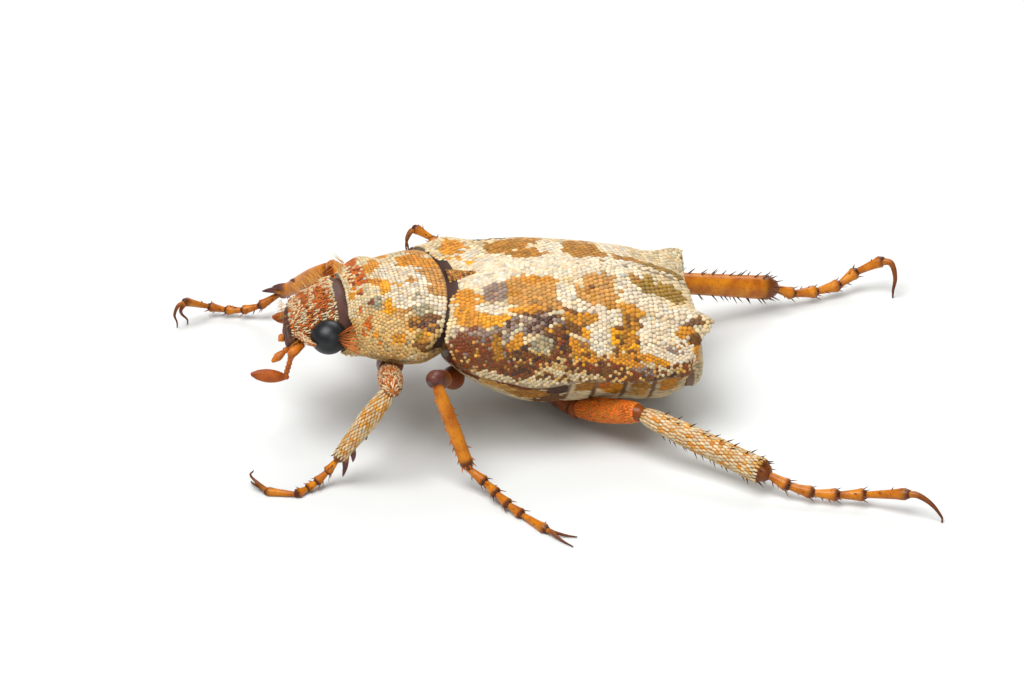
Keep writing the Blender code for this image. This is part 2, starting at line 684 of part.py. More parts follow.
def make_antenna(name, root, material):
    """Club-shaped scape, thin stem and a club of three leaves."""
    start, elbow, foot, tip = ANTENNAE[name]
    thick = ANTENNA_THICKNESS
    scape = tube([between(start, elbow, t) for t in (0.0, 0.5, 0.85, 1.15)],
                 (thick, thick * 1.3, thick * 1.4, thick * 0.8), 7)
    stem = tube([between(elbow, foot, t) for t in (0.0, 0.3, 0.7, 1.0)],
                (thick * 1.05, thick * 0.95, thick * 0.95, thick), 6, up=(0.0, 1.0, 0.0))
    leaves = []
    for leaf in (-1, 0, 1):
        path = [between(foot, tip, t) for t in (-0.05, 0.15, 0.5, 0.8, 1.0)]
        path = [(x + 0.085 * leaf * t, y, z) for (x, y, z), t in zip(path, (0.0, 0.2, 0.5, 0.8, 1.0))]
        radii = [CLUB_THICKNESS * size for size in (0.45, 0.8, 1.0, 0.75, 0.2)]
        leaves.append(tube(path, radii, 6, flatness=0.9))
    return joined(name, stem, [scape] + leaves, root, material)


def make_mouthparts(root, material):
    """The lip under the clypeus and the two leaf-shaped feelers of the mouth."""
    lip = [[(0.55 * size * math.cos(turn), y, z + 0.17 * size * math.sin(turn))
            for turn in np.linspace(0.0, 2 * math.pi, 13)[:-1]]
           for y, z, size in ((-6.42, 3.12, 0.9), (-6.62, 3.14, 1.0), (-6.82, 3.2, 0.7))]
    palps = []
    for tip in PALP_TIPS:
        root_place = (math.copysign(0.36, tip[0]), -6.58, 3.06)
        path = [between(root_place, tip, t) for t in (0.0, 0.3, 0.6, 0.85, 1.0)]
        palps.append(tube(path, (0.1, 0.1, 0.13, 0.11, 0.03), 6))
    return joined("mouthparts", closed_loft(lip), palps, root, material)


def shortened(start, end, cut_start, cut_end):
    """The two ends of a straight piece, each drawn in by a length."""
    length = math.dist(start, end)
    return between(start, end, cut_start / length), between(start, end, 1.0 - cut_end / length)


def pressed_to_floor(shape):
    """Points that would pass the floor are pressed flat on it."""
    points, faces = shape
    return [(p[0], p[1], max(p[2], 0.0)) for p in points], faces


def swollen_limb(start, end, radius, profile, sides, flatness=1.0):
    path = [between(start, end, part) for part, _ in profile]
    radii = [radius * size for _, size in profile]
    return tube(path, radii, sides, flatness, up=steep_up(start, end))


def leg_size(name):
    return LEG_SIZES[name.split("_")[0]]


def coxa_shape(name, room=0.0):
    leg = LEGS[name]
    start, end = shortened(leg["coxa"], leg["hip"], -room, JOINT_GAP + 0.1 - room)
    return swollen_limb(start, end, leg_size(name)["coxa"] + room, COXA_PROFILE, 10)


def femur_shape(name, room=0.0):
    leg = LEGS[name]
    start, end = shortened(leg["hip"], leg["knee"], -room, -KNEE_REACH - room)
    return swollen_limb(start, end, leg_size(name)["femur"] + room, FEMUR_PROFILE, 10)


def leg_room(*names):
    """What the legs of these names need free of the body: their roots and a joint's gap."""
    return [shape(name, JOINT_GAP) for name in names for shape in (coxa_shape, femur_shape)]


def make_coxa(name, root, material):
    """The root of a leg, a short cone under the thorax."""
    return mesh_object(f"coxa_{name}", coxa_shape(name), root, material)


def make_femur(name, root, material):
    return mesh_object(f"femur_{name}", femur_shape(name), root, material)


def spine_row(start, end, radius, row, draw):
    """Spines along one side of a limb, leaning towards its end."""
    along, across, above = limb_frame(start, end)
    spines = []
    first, last = row["span"]
    for i in range(row["count"]):
        part = first + (last - first) * (i + 0.5 + draw.uniform(-0.25, 0.25)) / row["count"]
        turn = math.radians(row["side"] + draw.uniform(-12, 12))
        outward = math.cos(turn) * across + math.sin(turn) * above
        length = row["length"] * draw.uniform(0.85, 1.15)
        foot = np.array(between(start, end, part))
        reach = radius + length * math.cos(row["lean"])
        tip = foot + outward * reach + along * length * math.sin(row["lean"])
        spines.append(cone(foot + outward * radius * 0.45, tip, row["thick"], 4))
    return spines


def spine_crown(start, end, radius, crown, draw):
    """Spines round the end of a limb."""
    along, across, above = limb_frame(start, end)
    spines = []
    for i in range(crown["count"]):
        turn = 2 * math.pi * (i + 0.3) / crown["count"]
        outward = math.cos(turn) * across + math.sin(turn) * above
        foot = np.array(between(start, end, crown["at"])) + outward * radius * 0.55
        length = crown["length"] * draw.uniform(0.85, 1.15)
        tip = foot + outward * (radius * 0.5 + length * 0.45) + along * length
        spines.append(cone(foot, tip, crown["thick"], 4))
    return spines


def front_teeth(name, start, end, radius):
    along, _, _ = limb_frame(start, end)
    outward = np.array(TOOTH_DIRECTIONS[name])
    outward = outward - along * outward.dot(along)
    outward = outward / np.linalg.norm(outward)
    teeth = []
    for part, outwards, onwards, thick in FRONT_TEETH:
        foot = np.array(between(start, end, part)) + outward * radius * 0.45 - along * thick * 0.9
        tip = foot + outward * (radius * 0.55 + outwards) + along * (onwards + thick)
        teeth.append(cone(foot, tip, thick, 6))
    return teeth


def make_tibia(name, leg, sizes, root, material):
    """The shin: three teeth on a front one, rows of spines on the others."""
    pair = name.split("_")[0]
    draw = random.Random(SPINE_SEED + len(name))
    start, end = shortened(leg["knee"], leg["ankle"], sizes["femur"] * 0.66 + JOINT_GAP, JOINT_GAP)
    wide = sizes["tibia_end"] / sizes["tibia"]
    profile = ((0.0, 0.8), (0.08, 0.93), (0.35, 1.0),
               (0.7, 0.5 + 0.5 * wide), (0.95, wide), (1.0, wide * 0.85))
    extras = []
    for row in TIBIA_ROWS[pair]:
        extras += spine_row(start, end, sizes["tibia"], row, draw)
    if TIBIA_CROWNS[pair]:
        extras += spine_crown(start, end, sizes["tibia_end"], TIBIA_CROWNS[pair], draw)
    if pair == "front":
        extras += front_teeth(name, start, end, sizes["tibia"])
    shape = swollen_limb(start, end, sizes["tibia"], profile, 8)
    return joined(f"tibia_{name}", shape, extras, root, material)


def foot_tube(leg, sizes):
    """Five segments, each narrow at its root and flared at its end."""
    joints = (leg["ankle"],) + leg["foot"]
    path = []
    radii = []
    for segment in range(FOOT_JOINTS):
        start, end = joints[segment], joints[segment + 1]
        path += [between(start, end, 0.1), between(start, end, 0.78)]
        radii += [sizes["foot"] * 0.8, sizes["foot"] * 1.12]
    path.append(joints[-1])
    radii.append(sizes["foot"] * 0.8)
    return tube(path, radii, 8)


def claw_tube(start, curve, radius):
    path = (start,) + tuple(curve)
    radii = [radius * (1.0 - (1.0 - CLAW_TIP) * i / (len(path) - 1)) for i in range(len(path))]
    return tube(path, radii, 6, up=level_side(path[0], path[-1]))


def foot_spurs(name, leg, sizes):
    spurs = FOOT_SPURS[name.split("_")[0]]
    joints = (leg["ankle"],) + leg["foot"]
    shapes = []
    for segment in range(FOOT_JOINTS - 1):
        start, end = joints[segment], joints[segment + 1]
        along, across, above = limb_frame(start, end)
        for i in range(spurs["count"]):
            turn = math.radians(90 + 360 * (i + 0.5 * (segment % 2)) / spurs["count"])
            outward = math.cos(turn) * across + math.sin(turn) * above
            foot = np.array(between(start, end, 0.72)) + outward * sizes["foot"] * 0.5
            tip = foot + outward * (sizes["foot"] * 0.55 + spurs["length"] * 0.6) + along * spurs["length"]
            if tip[2] > spurs["thick"]:
                shapes.append(cone(foot, tip, spurs["thick"], 4))
    return shapes


def make_foot(name, leg, sizes, root, material):
    """Five segments with their spurs, and the claws that the leg stands on."""
    claws = foot_spurs(name, leg, sizes)
    for curve in leg["claws"]:
        inside = between(leg["foot"][-1], leg["foot"][-2], 0.12)
        claws.append(pressed_to_floor(claw_tube(inside, curve, sizes["claw"])))
    foot = pressed_to_floor(foot_tube(leg, sizes))
    return joined(f"foot_{name}", foot, claws, root, material)


def make_leg(name, leg, root, materials):
    sizes = leg_size(name)
    make_coxa(name, root, materials["rust"])
    make_femur(name, root, materials["rust"])
    make_tibia(name, leg, sizes, root, materials["amber"])
    make_foot(name, leg, sizes, root, materials["amber"])


def clear_scene():
    for leftover in list(bpy.data.objects):
        bpy.data.objects.remove(leftover)


def main():
    clear_scene()
    root = bpy.data.objects.new("model_origin", None)
    root.location = (CENTRE_SHIFT[0] * MM, CENTRE_SHIFT[1] * MM, 0.0)
    bpy.context.scene.collection.objects.link(root)
    materials = {
        "scaled": make_material("scaled shell", SHELL_COLOUR, 0.5),
        "cream": make_material("cream underside", SCALE_CREAM, 0.55),
        "amber": make_material("amber horn", AMBER, 0.35),
        "rust": make_material("rust horn", RUST, 0.35),
        "dark": make_material("dark horn", DARK_HORN, 0.3),
        "eye": make_material("black eye", EYE_BLACK, 0.08),
    }
    make_pronotum(root, materials["scaled"])
    make_prosternum(root, materials["cream"])
    make_elytra(root, materials["scaled"])
    make_scutellum(root, materials["rust"])
    make_thorax(root, materials["cream"])
    make_abdomen(root, materials["cream"])
    make_pygidium(root, materials["cream"])
    make_head(root, materials["scaled"])
    make_clypeus(root, materials["dark"])
    make_eyes(root, materials["eye"])
    make_mouthparts(root, materials["amber"])
    for name in ANTENNAE:
        make_antenna(name, root, materials["rust"])
    for name, leg in LEGS.items():
        make_leg(name, leg, root, materials)


main()
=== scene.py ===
import math

import bmesh
import bpy
import numpy as np
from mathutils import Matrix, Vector, noise
from mathutils.kdtree import KDTree


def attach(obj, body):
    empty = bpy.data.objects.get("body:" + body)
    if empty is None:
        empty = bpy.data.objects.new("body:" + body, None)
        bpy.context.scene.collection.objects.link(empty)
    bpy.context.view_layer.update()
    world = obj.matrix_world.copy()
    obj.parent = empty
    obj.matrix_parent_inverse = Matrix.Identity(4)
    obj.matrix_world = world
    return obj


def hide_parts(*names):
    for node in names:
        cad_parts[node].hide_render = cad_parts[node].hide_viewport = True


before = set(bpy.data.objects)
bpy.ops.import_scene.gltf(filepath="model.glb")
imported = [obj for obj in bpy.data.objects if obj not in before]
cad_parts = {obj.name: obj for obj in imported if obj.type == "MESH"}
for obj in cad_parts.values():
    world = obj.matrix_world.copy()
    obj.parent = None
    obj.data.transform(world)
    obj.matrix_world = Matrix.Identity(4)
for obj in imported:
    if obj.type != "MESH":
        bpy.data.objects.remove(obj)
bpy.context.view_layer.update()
print("frame loaded")

# The beetle is modelled in millimetres: head towards -Y, its left side towards +X, floor at z = 0.
mm = 0.001
bodyShift = np.array((0.39, -1.91, 0.0))     # the solids stand this far from the beetle's own origin


def toWorld(points):
    return (np.asarray(points, float) + bodyShift) * mm


def unit(vectors):
    vectors = np.asarray(vectors, float)
    return vectors / (np.linalg.norm(vectors, axis=-1, keepdims=True) + 1e-9)


def smoothCurve(knots):    # a smooth curve through (place, value) pairs, for numbers or arrays
    places = np.array([k[0] for k in knots], float)
    values = np.array([k[1] for k in knots], float)
    last = len(knots) - 1
    before = np.maximum(np.arange(last + 1) - 1, 0)
    after = np.minimum(np.arange(last + 1) + 1, last)
    slopes = (values[after] - values[before]) / (places[after] - places[before])

    def valueAt(place):
        place = np.clip(place, places[0], places[-1])
        i = np.clip(np.searchsorted(places, place, side="right") - 1, 0, last - 1)
        span = places[i + 1] - places[i]
        t = (place - places[i]) / span
        return ((2 * t**3 - 3 * t**2 + 1) * values[i] + (t**3 - 2 * t**2 + t) * span * slopes[i]
                + (3 * t**2 - 2 * t**3) * values[i + 1] + (t**3 - t**2) * span * slopes[i + 1])

    return valueAt


def smoothPath(points, count):    # evenly numbered points on a smooth curve through a few
    points = np.asarray(points, float)
    reach = np.concatenate(([0.0], np.cumsum(np.linalg.norm(np.diff(points, axis=0), axis=1))))
    where = np.linspace(0.0, reach[-1], count)
    return np.stack([smoothCurve(list(zip(reach, points[:, axis])))(where) for axis in range(3)], axis=1)


# Studio

studio = {
    "aim": (0.5075, 0.0, 2.5),       # what the camera looks at, in the beetle's frame
    "azimuth": 79.0,
    "elevation": 30.0,
    "distance": 190.0,
    "lens": 223.77,
    "floorSize": 900.0,
    "floorColour": (0.655, 0.668, 0.658),
    "worldColour": (1.0, 1.0, 1.0),
    "worldStrength": 0.24,
    "key": {"from": (40.0, -60.0, 170.0), "size": 130.0, "power": 0.46},
    "fill": {"from": (150.0, 40.0, 90.0), "size": 110.0, "power": 0.085},
    "rim": {"from": (-110.0, 60.0, 110.0), "size": 100.0, "power": 0.13},
}


def lookAt(thing, place, target):
    thing.location = toWorld(place)
    ahead = Vector(np.asarray(target, float) - np.asarray(place, float))
    thing.rotation_euler = ahead.to_track_quat("-Z", "Y").to_euler()


def makeStudio():
    aim = np.array(studio["aim"])
    azimuth, elevation = math.radians(studio["azimuth"]), math.radians(studio["elevation"])
    back = np.array((math.sin(azimuth) * math.cos(elevation),
                     -math.cos(azimuth) * math.cos(elevation), math.sin(elevation)))
    camera = bpy.data.objects.new("camera", bpy.data.cameras.new("camera"))
    bpy.context.scene.collection.objects.link(camera)
    camera.data.lens = studio["lens"]
    camera.data.sensor_width = 36.0
    camera.data.clip_start = 0.01
    camera.data.clip_end = 10.0
    camera.data.dof.use_dof = False
    lookAt(camera, aim + studio["distance"] * back, aim)
    bpy.context.scene.camera = camera
    for name in ("key", "fill", "rim"):
        values = studio[name]
        light = bpy.data.objects.new(name + "Light", bpy.data.lights.new(name + "Light", "AREA"))
        light.data.size = values["size"] * mm
        light.data.energy = values["power"]
        bpy.context.scene.collection.objects.link(light)
        lookAt(light, values["from"], aim)
    world = bpy.data.worlds.new("studioWorld")
    world.use_nodes = True
    world.node_tree.nodes["Background"].inputs["Color"].default_value = (*studio["worldColour"], 1.0)
    world.node_tree.nodes["Background"].inputs["Strength"].default_value = studio["worldStrength"]
    bpy.context.scene.world = world
    half = 0.5 * studio["floorSize"]
    mesh = bpy.data.meshes.new("floor")
    mesh.from_pydata([tuple(p) for p in toWorld([(-half, -half, 0.0), (half, -half, 0.0),
                                                 (half, half, 0.0), (-half, half, 0.0)])], [], [(0, 1, 2, 3)])
    floor = bpy.data.objects.new("floor", mesh)
    bpy.context.scene.collection.objects.link(floor)
    paper = bpy.data.materials.new("palePaper")
    paper.use_nodes = True
    shader = paper.node_tree.nodes["Principled BSDF"]
    shader.inputs["Base Color"].default_value = (*studio["floorColour"], 1.0)
    shader.inputs["Roughness"].default_value = 0.9
    shader.inputs["Specular IOR Level"].default_value = 0.1
    mesh.materials.append(paper)


makeStudio()
bpy.context.scene.view_settings.view_transform = "Standard"
print("studio ready")

# Colours, as they look on screen

pigments = {
    "white": (214, 196, 168), "cream": (204, 182, 142), "sand": (192, 156, 98), "lilac": (138, 114, 98),
    "grey": (150, 138, 108), "ochre": (198, 130, 30), "yellow": (222, 150, 16), "tan": (186, 132, 62),
    "orange": (186, 94, 24), "rust": (120, 58, 24), "brown": (108, 68, 28), "plum": (74, 46, 34),
    "olive": (142, 106, 26), "straw": (202, 150, 70), "gold": (166, 112, 32), "amber": (196, 104, 14),
    "bark": (84, 44, 16), "coral": (226, 116, 30),
}

# Patches whose scales are of several colours

mixtures = {
    "shoulder": (("rust", 0.44), ("brown", 0.26), ("tan", 0.1), ("gold", 0.08), ("lilac", 0.12)),
    "dusk": (("plum", 0.4), ("brown", 0.34), ("rust", 0.14), ("gold", 0.12)),
    "heather": (("lilac", 0.58), ("cream", 0.16), ("plum", 0.14), ("brown", 0.12)),
    "bronze": (("brown", 0.3), ("gold", 0.32), ("ochre", 0.28), ("yellow", 0.1)),
    "hem": (("sand", 0.26), ("rust", 0.26), ("brown", 0.3), ("straw", 0.1), ("plum", 0.08)),
    "flame": (("orange", 0.6), ("rust", 0.14), ("cream", 0.18), ("ochre", 0.08)),
    "face": (("orange", 0.46), ("cream", 0.54)),
    "ember": (("orange", 0.74), ("rust", 0.14), ("ochre", 0.12)),
    "shield": (("gold", 0.5), ("tan", 0.26), ("brown", 0.12), ("orange", 0.12)),
    "thigh": (("coral", 0.84), ("ochre", 0.16)),
    "arm": (("cream", 0.6), ("orange", 0.28), ("rust", 0.12)),
    "shank": (("cream", 0.84), ("straw", 0.12), ("ochre", 0.04)),
}


def linear(colour):
    return tuple((c / 255.0 / 12.92) if c < 10.3 else ((c / 255.0 + 0.055) / 1.055)**2.4 for c in colour)


pigmentNames = list(pigments)
pigmentTable = np.array([linear(pigments[name]) for name in pigmentNames])


def noiseAt(points, scale, seed):
    return np.array([noise.noise(Vector((p[0] * scale + seed, p[1] * scale, p[2] * scale))) for p in points])


def markedColours(points, across, along, markings, base, seed, ragged=0.34, speckle=0.3):
    # Each marking is (pigment, across, along, half width, half length); the strongest one wins,
    # and a small marking is a little stronger than a large one that it lies in.
    draw = np.random.default_rng(seed)
    weights = [np.full(len(points), 0.36) + ragged * 0.5 * noiseAt(points, 1.3, seed)]
    names = [base]
    for number, (name, midAcross, midAlong, wide, long) in enumerate(markings):
        far = ((across - midAcross) / wide)**2 + ((along - midAlong) / long)**2
        rough = noiseAt(points, 3.4, seed + 7.3 * number + 3.1)
        peak = 0.98 + 0.09 / (0.25 + wide * long)
        weights.append(peak * np.exp(-0.72 * far**1.5) + ragged * rough * np.exp(-0.3 * far)
                       + speckle * draw.standard_normal(len(points)) * np.exp(-0.45 * far))
        names.append(name)
    winner = np.argmax(np.array(weights), axis=0)
    return coloursOf([names[i] for i in winner], seed)


def coloursOf(names, seed):
    # the colour of each name, or one of its mixture's, chosen at random
    draws = np.random.default_rng(seed + 1).uniform(0, 1, len(names))
    chosenNames = []
    for name, spot in zip(names, draws):
        for pigment, share in mixtures.get(name, ((name, 1.0),)):
            spot -= share
            if spot < 0.0:
                break
        chosenNames.append(pigmentNames.index(pigment))
    return pigmentTable[chosenNames]


def varied(colours, seed, spread=0.15):
    draw = np.random.default_rng(seed)
    light = 1.0 + spread * draw.standard_normal(len(colours)).clip(-2, 2)
    warm = 0.06 * draw.standard_normal(len(colours))
    shift = np.stack([light * (1 + warm), light, light * (1 - 1.3 * warm)], axis=1)
    return np.clip(colours * shift, 0.004, 0.95)


# Finishes

def newMaterial(name):
    material = bpy.data.materials.new(name)
    material.use_nodes = True
    nodes, links = material.node_tree.nodes, material.node_tree.links
    return material, nodes, links, nodes["Principled BSDF"]


def addNode(nodes, kind, **values):
    node = nodes.new(kind)
    for key, value in values.items():
        setattr(node, key, value)
    return node


def objectNoise(nodes, links, scale, detail=4.0):
    place = addNode(nodes, "ShaderNodeTexCoord")
    texture = addNode(nodes, "ShaderNodeTexNoise")
    texture.inputs["Scale"].default_value = scale
    texture.inputs["Detail"].default_value = detail
    links.new(place.outputs["Object"], texture.inputs["Vector"])
    return texture


def addBump(nodes, links, shader, height, strength, distance):
    bump = addNode(nodes, "ShaderNodeBump")
    bump.inputs["Strength"].default_value = strength
    bump.inputs["Distance"].default_value = distance
    links.new(height, bump.inputs["Height"])
    links.new(bump.outputs["Normal"], shader.inputs["Normal"])


def mixColour(nodes, links, first, second, factor, blend="MIX"):
    mix = addNode(nodes, "ShaderNodeMix", data_type="RGBA", blend_type=blend)
    for value, socket in ((factor, mix.inputs[0]), (first, mix.inputs[6]), (second, mix.inputs[7])):
        if isinstance(value, bpy.types.NodeSocket):
            links.new(value, socket)
        elif isinstance(value, tuple):
            socket.default_value = (*value, 1.0)
        else:
            socket.default_value = value
    return mix.outputs[2]


def rampOf(nodes, links, source, stops):
    ramp = addNode(nodes, "ShaderNodeValToRGB")
    elements = ramp.color_ramp.elements
    while len(elements) < len(stops):
        elements.new(0.5)
    for element, (place, colour) in zip(elements, stops):
        element.position = place
        element.color = (*colour, 1.0)
    links.new(source, ramp.inputs["Fac"])
    return ramp.outputs["Color"]


def coatMaterial(name, roughness, edge, coat=0.0):
    # Each scale or hair has its own tint; the crown value paints shade on each scale's rim, where the domes
    # overlap and turn from the light, and darkens hairs and spines towards the root.
    material, nodes, links, shader = newMaterial(name)
    tint = addNode(nodes, "ShaderNodeAttribute", attribute_name="tint")
    crown = addNode(nodes, "ShaderNodeAttribute", attribute_name="crown")
    # painted shade: dark at a scale's rim, full tint on its crown
    shade = rampOf(nodes, links, crown.outputs["Fac"], ((0.0, (edge, edge * 0.94, edge * 0.86)),
                                                       (0.45, (0.88, 0.87, 0.85)), (1.0, (1.0, 1.0, 1.0))))
    base = mixColour(nodes, links, tint.outputs["Color"], shade, 1.0, "MULTIPLY")
    grain = objectNoise(nodes, links, 26000.0, 3.0)
    speck = rampOf(nodes, links, grain.outputs["Fac"], ((0.3, (0.86, 0.85, 0.84)), (0.7, (1.0, 1.0, 1.0))))
    links.new(mixColour(nodes, links, base, speck, 1.0, "MULTIPLY"), shader.inputs["Base Color"])
    shader.inputs["Roughness"].default_value = roughness
    shader.inputs["Specular IOR Level"].default_value = 0.24
    shader.inputs["Coat Weight"].default_value = coat
    shader.inputs["Coat Roughness"].default_value = 0.3
    addBump(nodes, links, shader, grain.outputs["Fac"], 0.25, 0.000006)
    return material


def skinMaterial(name, dark, keep, roughness, coat=0.2):
    # The horn under the scales: dark, with a trace of the markings above it.
    material, nodes, links, shader = newMaterial(name)
    tint = addNode(nodes, "ShaderNodeAttribute", attribute_name="tint")
    patch = objectNoise(nodes, links, 2400.0)
    horn = rampOf(nodes, links, patch.outputs["Fac"], ((0.3, tuple(0.7 * c for c in dark)),
                                                      (0.7, tuple(1.35 * c for c in dark))))
    links.new(mixColour(nodes, links, horn, tint.outputs["Color"], keep), shader.inputs["Base Color"])
    shader.inputs["Roughness"].default_value = roughness
    shader.inputs["Coat Weight"].default_value = coat
    shader.inputs["Coat Roughness"].default_value = 0.25
    pits = objectNoise(nodes, links, 14000.0, 2.0)
    addBump(nodes, links, shader, pits.outputs["Fac"], 0.5, 0.00001)
    return material


def hornMaterial(name, light, deep, pitScale, pitDepth, roughness, coat, clear=0.0):
    # Bare horn: cloudy colour, darker where the tint says so, pricked all over with fine pits, which are also
    # painted darker as painted shade.
    material, nodes, links, shader = newMaterial(name)
    tint = addNode(nodes, "ShaderNodeAttribute", attribute_name="tint")
    cloud = objectNoise(nodes, links, 1900.0, 5.0)
    horn = rampOf(nodes, links, cloud.outputs["Fac"], ((0.32, deep), (0.62, light)))
    horn = mixColour(nodes, links, horn, tint.outputs["Color"], 1.0, "MULTIPLY")
    place = addNode(nodes, "ShaderNodeTexCoord")
    pits = addNode(nodes, "ShaderNodeTexVoronoi")
    pits.inputs["Scale"].default_value = pitScale
    links.new(place.outputs["Object"], pits.inputs["Vector"])
    # painted shade in the pits
    pitShade = rampOf(nodes, links, pits.outputs["Distance"], ((0.08, (0.55, 0.5, 0.5)), (0.32, (1.0, 1.0, 1.0))))
    links.new(mixColour(nodes, links, horn, pitShade, 1.0, "MULTIPLY"), shader.inputs["Base Color"])
    shader.inputs["Roughness"].default_value = roughness
    shader.inputs["Specular IOR Level"].default_value = 0.22
    shader.inputs["Coat Weight"].default_value = coat
    shader.inputs["Coat Roughness"].default_value = 0.2
    shader.inputs["Subsurface Weight"].default_value = clear
    shader.inputs["Subsurface Radius"].default_value = (0.0003, 0.00012, 0.00004)
    height = rampOf(nodes, links, pits.outputs["Distance"], ((0.0, (0.0, 0.0, 0.0)), (0.4, (1.0, 1.0, 1.0))))
    addBump(nodes, links, shader, height, pitDepth, 0.00001)
    return material


def eyeMaterial():
    material, nodes, links, shader = newMaterial("eyeFacets")
    place = addNode(nodes, "ShaderNodeTexCoord")
    facets = addNode(nodes, "ShaderNodeTexVoronoi")
    facets.inputs["Scale"].default_value = 42000.0
    links.new(place.outputs["Object"], facets.inputs["Vector"])
    cloud = objectNoise(nodes, links, 1500.0, 2.0)
    black = rampOf(nodes, links, cloud.outputs["Fac"], ((0.35, (0.003, 0.004, 0.005)),
                                                       (0.7, (0.01, 0.013, 0.016))))
    links.new(black, shader.inputs["Base Color"])
    shader.inputs["Roughness"].default_value = 0.42
    shader.inputs["Specular IOR Level"].default_value = 0.35
    shader.inputs["Coat Weight"].default_value = 0.12
    shader.inputs["Coat Roughness"].default_value = 0.3
    addBump(nodes, links, shader, facets.outputs["Distance"], 0.3, 0.000004)
    return material


# For the coats, the third number sets how dark the painted shade at the rim of each scale or hair is.
finishes = {
    "shellScales": coatMaterial("shellScales", 0.42, 0.4, coat=0.06),
    "faceScales": coatMaterial("faceScales", 0.4, 0.42, coat=0.1),
    "bellyScales": coatMaterial("bellyScales", 0.5, 0.5),
    "legScales": coatMaterial("legScales", 0.42, 0.42, coat=0.08),
    "hairs": coatMaterial("goldenHairs", 0.36, 0.7),
    "shellSkin": skinMaterial("shellSkin", (0.07, 0.034, 0.016), 0.36, 0.5, 0.05),
    "bellySkin": skinMaterial("bellySkin", (0.075, 0.035, 0.016), 0.3, 0.5, 0.05),
    "darkHorn": hornMaterial("darkHorn", (0.105, 0.044, 0.03), (0.055, 0.024, 0.017),
                             pitScale=26000.0, pitDepth=0.6, roughness=0.5, coat=0.05),
    "amberHorn": hornMaterial("amberHorn", (0.56, 0.19, 0.008), (0.34, 0.084, 0.004),
                              pitScale=9000.0, pitDepth=0.2, roughness=0.34, coat=0.06, clear=0.08),
    "rustHorn": hornMaterial("rustHorn", (0.54, 0.155, 0.012), (0.3, 0.07, 0.008),
                             pitScale=12000.0, pitDepth=0.25, roughness=0.36, coat=0.1, clear=0.1),
    "eye": eyeMaterial(),
}
print("finishes ready")

# Mesh helpers


def setAttribute(mesh, name, kind, values):
    layer = mesh.attributes.get(name) or mesh.attributes.new(name, kind, "POINT")
    values = np.asarray(values, np.float32)
    if kind == "FLOAT_COLOR":
        values = np.concatenate([values, np.ones((len(values), 1), np.float32)], axis=1)
        layer.data.foreach_set("color", values.ravel())
    elif kind == "FLOAT_VECTOR":
        layer.data.foreach_set("vector", values.ravel())
    else:
        layer.data.foreach_set("value", values.ravel())


def linkObject(name, mesh):
    thing = bpy.data.objects.new(name, mesh)
    bpy.context.scene.collection.objects.link(thing)
    return thing


def gridSurface(rings):
    # Points and faces through rings of equally many points; the seams and both ends are closed.
    rings = np.asarray(rings, float)
    rows, count = rings.shape[:2]
    points = [tuple(p) for p in rings.reshape(-1, 3)]
    faces = []
    for r in range(rows - 1):
        for i in range(count):
            a, b = r * count + i, r * count + (i + 1) % count
            faces.append((a, b, b + count, a + count))
    for r, flip in ((0, True), (rows - 1, False)):
        points.append(tuple(rings[r].mean(axis=0)))
        for i in range(count):
            a, b = r * count + i, r * count + (i + 1) % count
            faces.append((len(points) - 1, b, a) if flip else (len(points) - 1, a, b))
    return points, faces


def joinSurfaces(surfaces):
    points, faces, tints = [], [], []
    for surface in surfaces:
        start = len(points)
        points += list(surface["points"])
        faces += [tuple(start + i for i in face) for face in surface["faces"]]
        tints += list(surface["tints"])
    return {"points": points, "faces": faces, "tints": tints}


def surfaceOf(rings, tint=(1.0, 1.0, 1.0)):
    # tint is one colour, one for each ring, or one for each point
    points, faces = gridSurface(rings)
    rows, count = np.asarray(rings).shape[:2]
    tint = np.asarray(tint, float)
    if tint.ndim == 1:
        tints = [tint] * len(points)
    elif len(tint) == rows:
        tints = [tint[r] for r in range(rows) for _ in range(count)] + [tint[0], tint[-1]]
    else:
        tints = list(tint) + [tint[0], tint[-1]]
    return {"points": points, "faces": faces, "tints": tints}


def makePiece(name, surface, finish, nodes=()):
    mesh = bpy.data.meshes.new(name)
    mesh.from_pydata([tuple(p) for p in toWorld(surface["points"])], [], surface["faces"])
    mesh.validate()
    work = bmesh.new()
    work.from_mesh(mesh)
    bmesh.ops.remove_doubles(work, verts=work.verts, dist=0.0000005)
    bmesh.ops.recalc_face_normals(work, faces=work.faces)
    work.to_mesh(mesh)
    work.free()
    if len(mesh.vertices) == len(surface["points"]):
        setAttribute(mesh, "tint", "FLOAT_COLOR", surface["tints"])
    else:
        tree = nearestFinder(toWorld(surface["points"]))
        tints = [surface["tints"][tree.find(v.co)[1]] for v in mesh.vertices]
        setAttribute(mesh, "tint", "FLOAT_COLOR", tints)
    mesh.materials.append(finish)
    mesh.shade_smooth()
    mesh.set_sharp_from_angle(angle=math.radians(50))
    finishPiece(linkObject(name, mesh), nodes)


def nearestFinder(places):
    tree = KDTree(len(places))
    for i, place in enumerate(places):
        tree.insert(Vector(place), i)
    tree.balance()
    return tree


def finishPiece(piece, nodes=()):
    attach(piece, "root")
    if nodes:
        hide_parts(*nodes)


def tubeRings(path, radii, sides=16, flatness=1.0, up=(0.0, 0.0, 1.0), roundEnds=0):
    # Rings along a path, wider across than along the up direction by 1 / flatness.
    path = np.asarray(path, float)
    radii = np.asarray(radii, float)
    if roundEnds:
        path, radii = withRoundEnds(path, radii, roundEnds)
    ahead = unit(np.gradient(path, axis=0))
    across = unit(np.cross(np.broadcast_to(up, path.shape), ahead))
    above = np.cross(ahead, across)
    turns = 2 * math.pi * (np.arange(sides) + 0.5) / sides
    return (path[:, None, :] + radii[:, None, None] * (np.cos(turns)[None, :, None] * across[:, None, :]
            + flatness * np.sin(turns)[None, :, None] * above[:, None, :]))


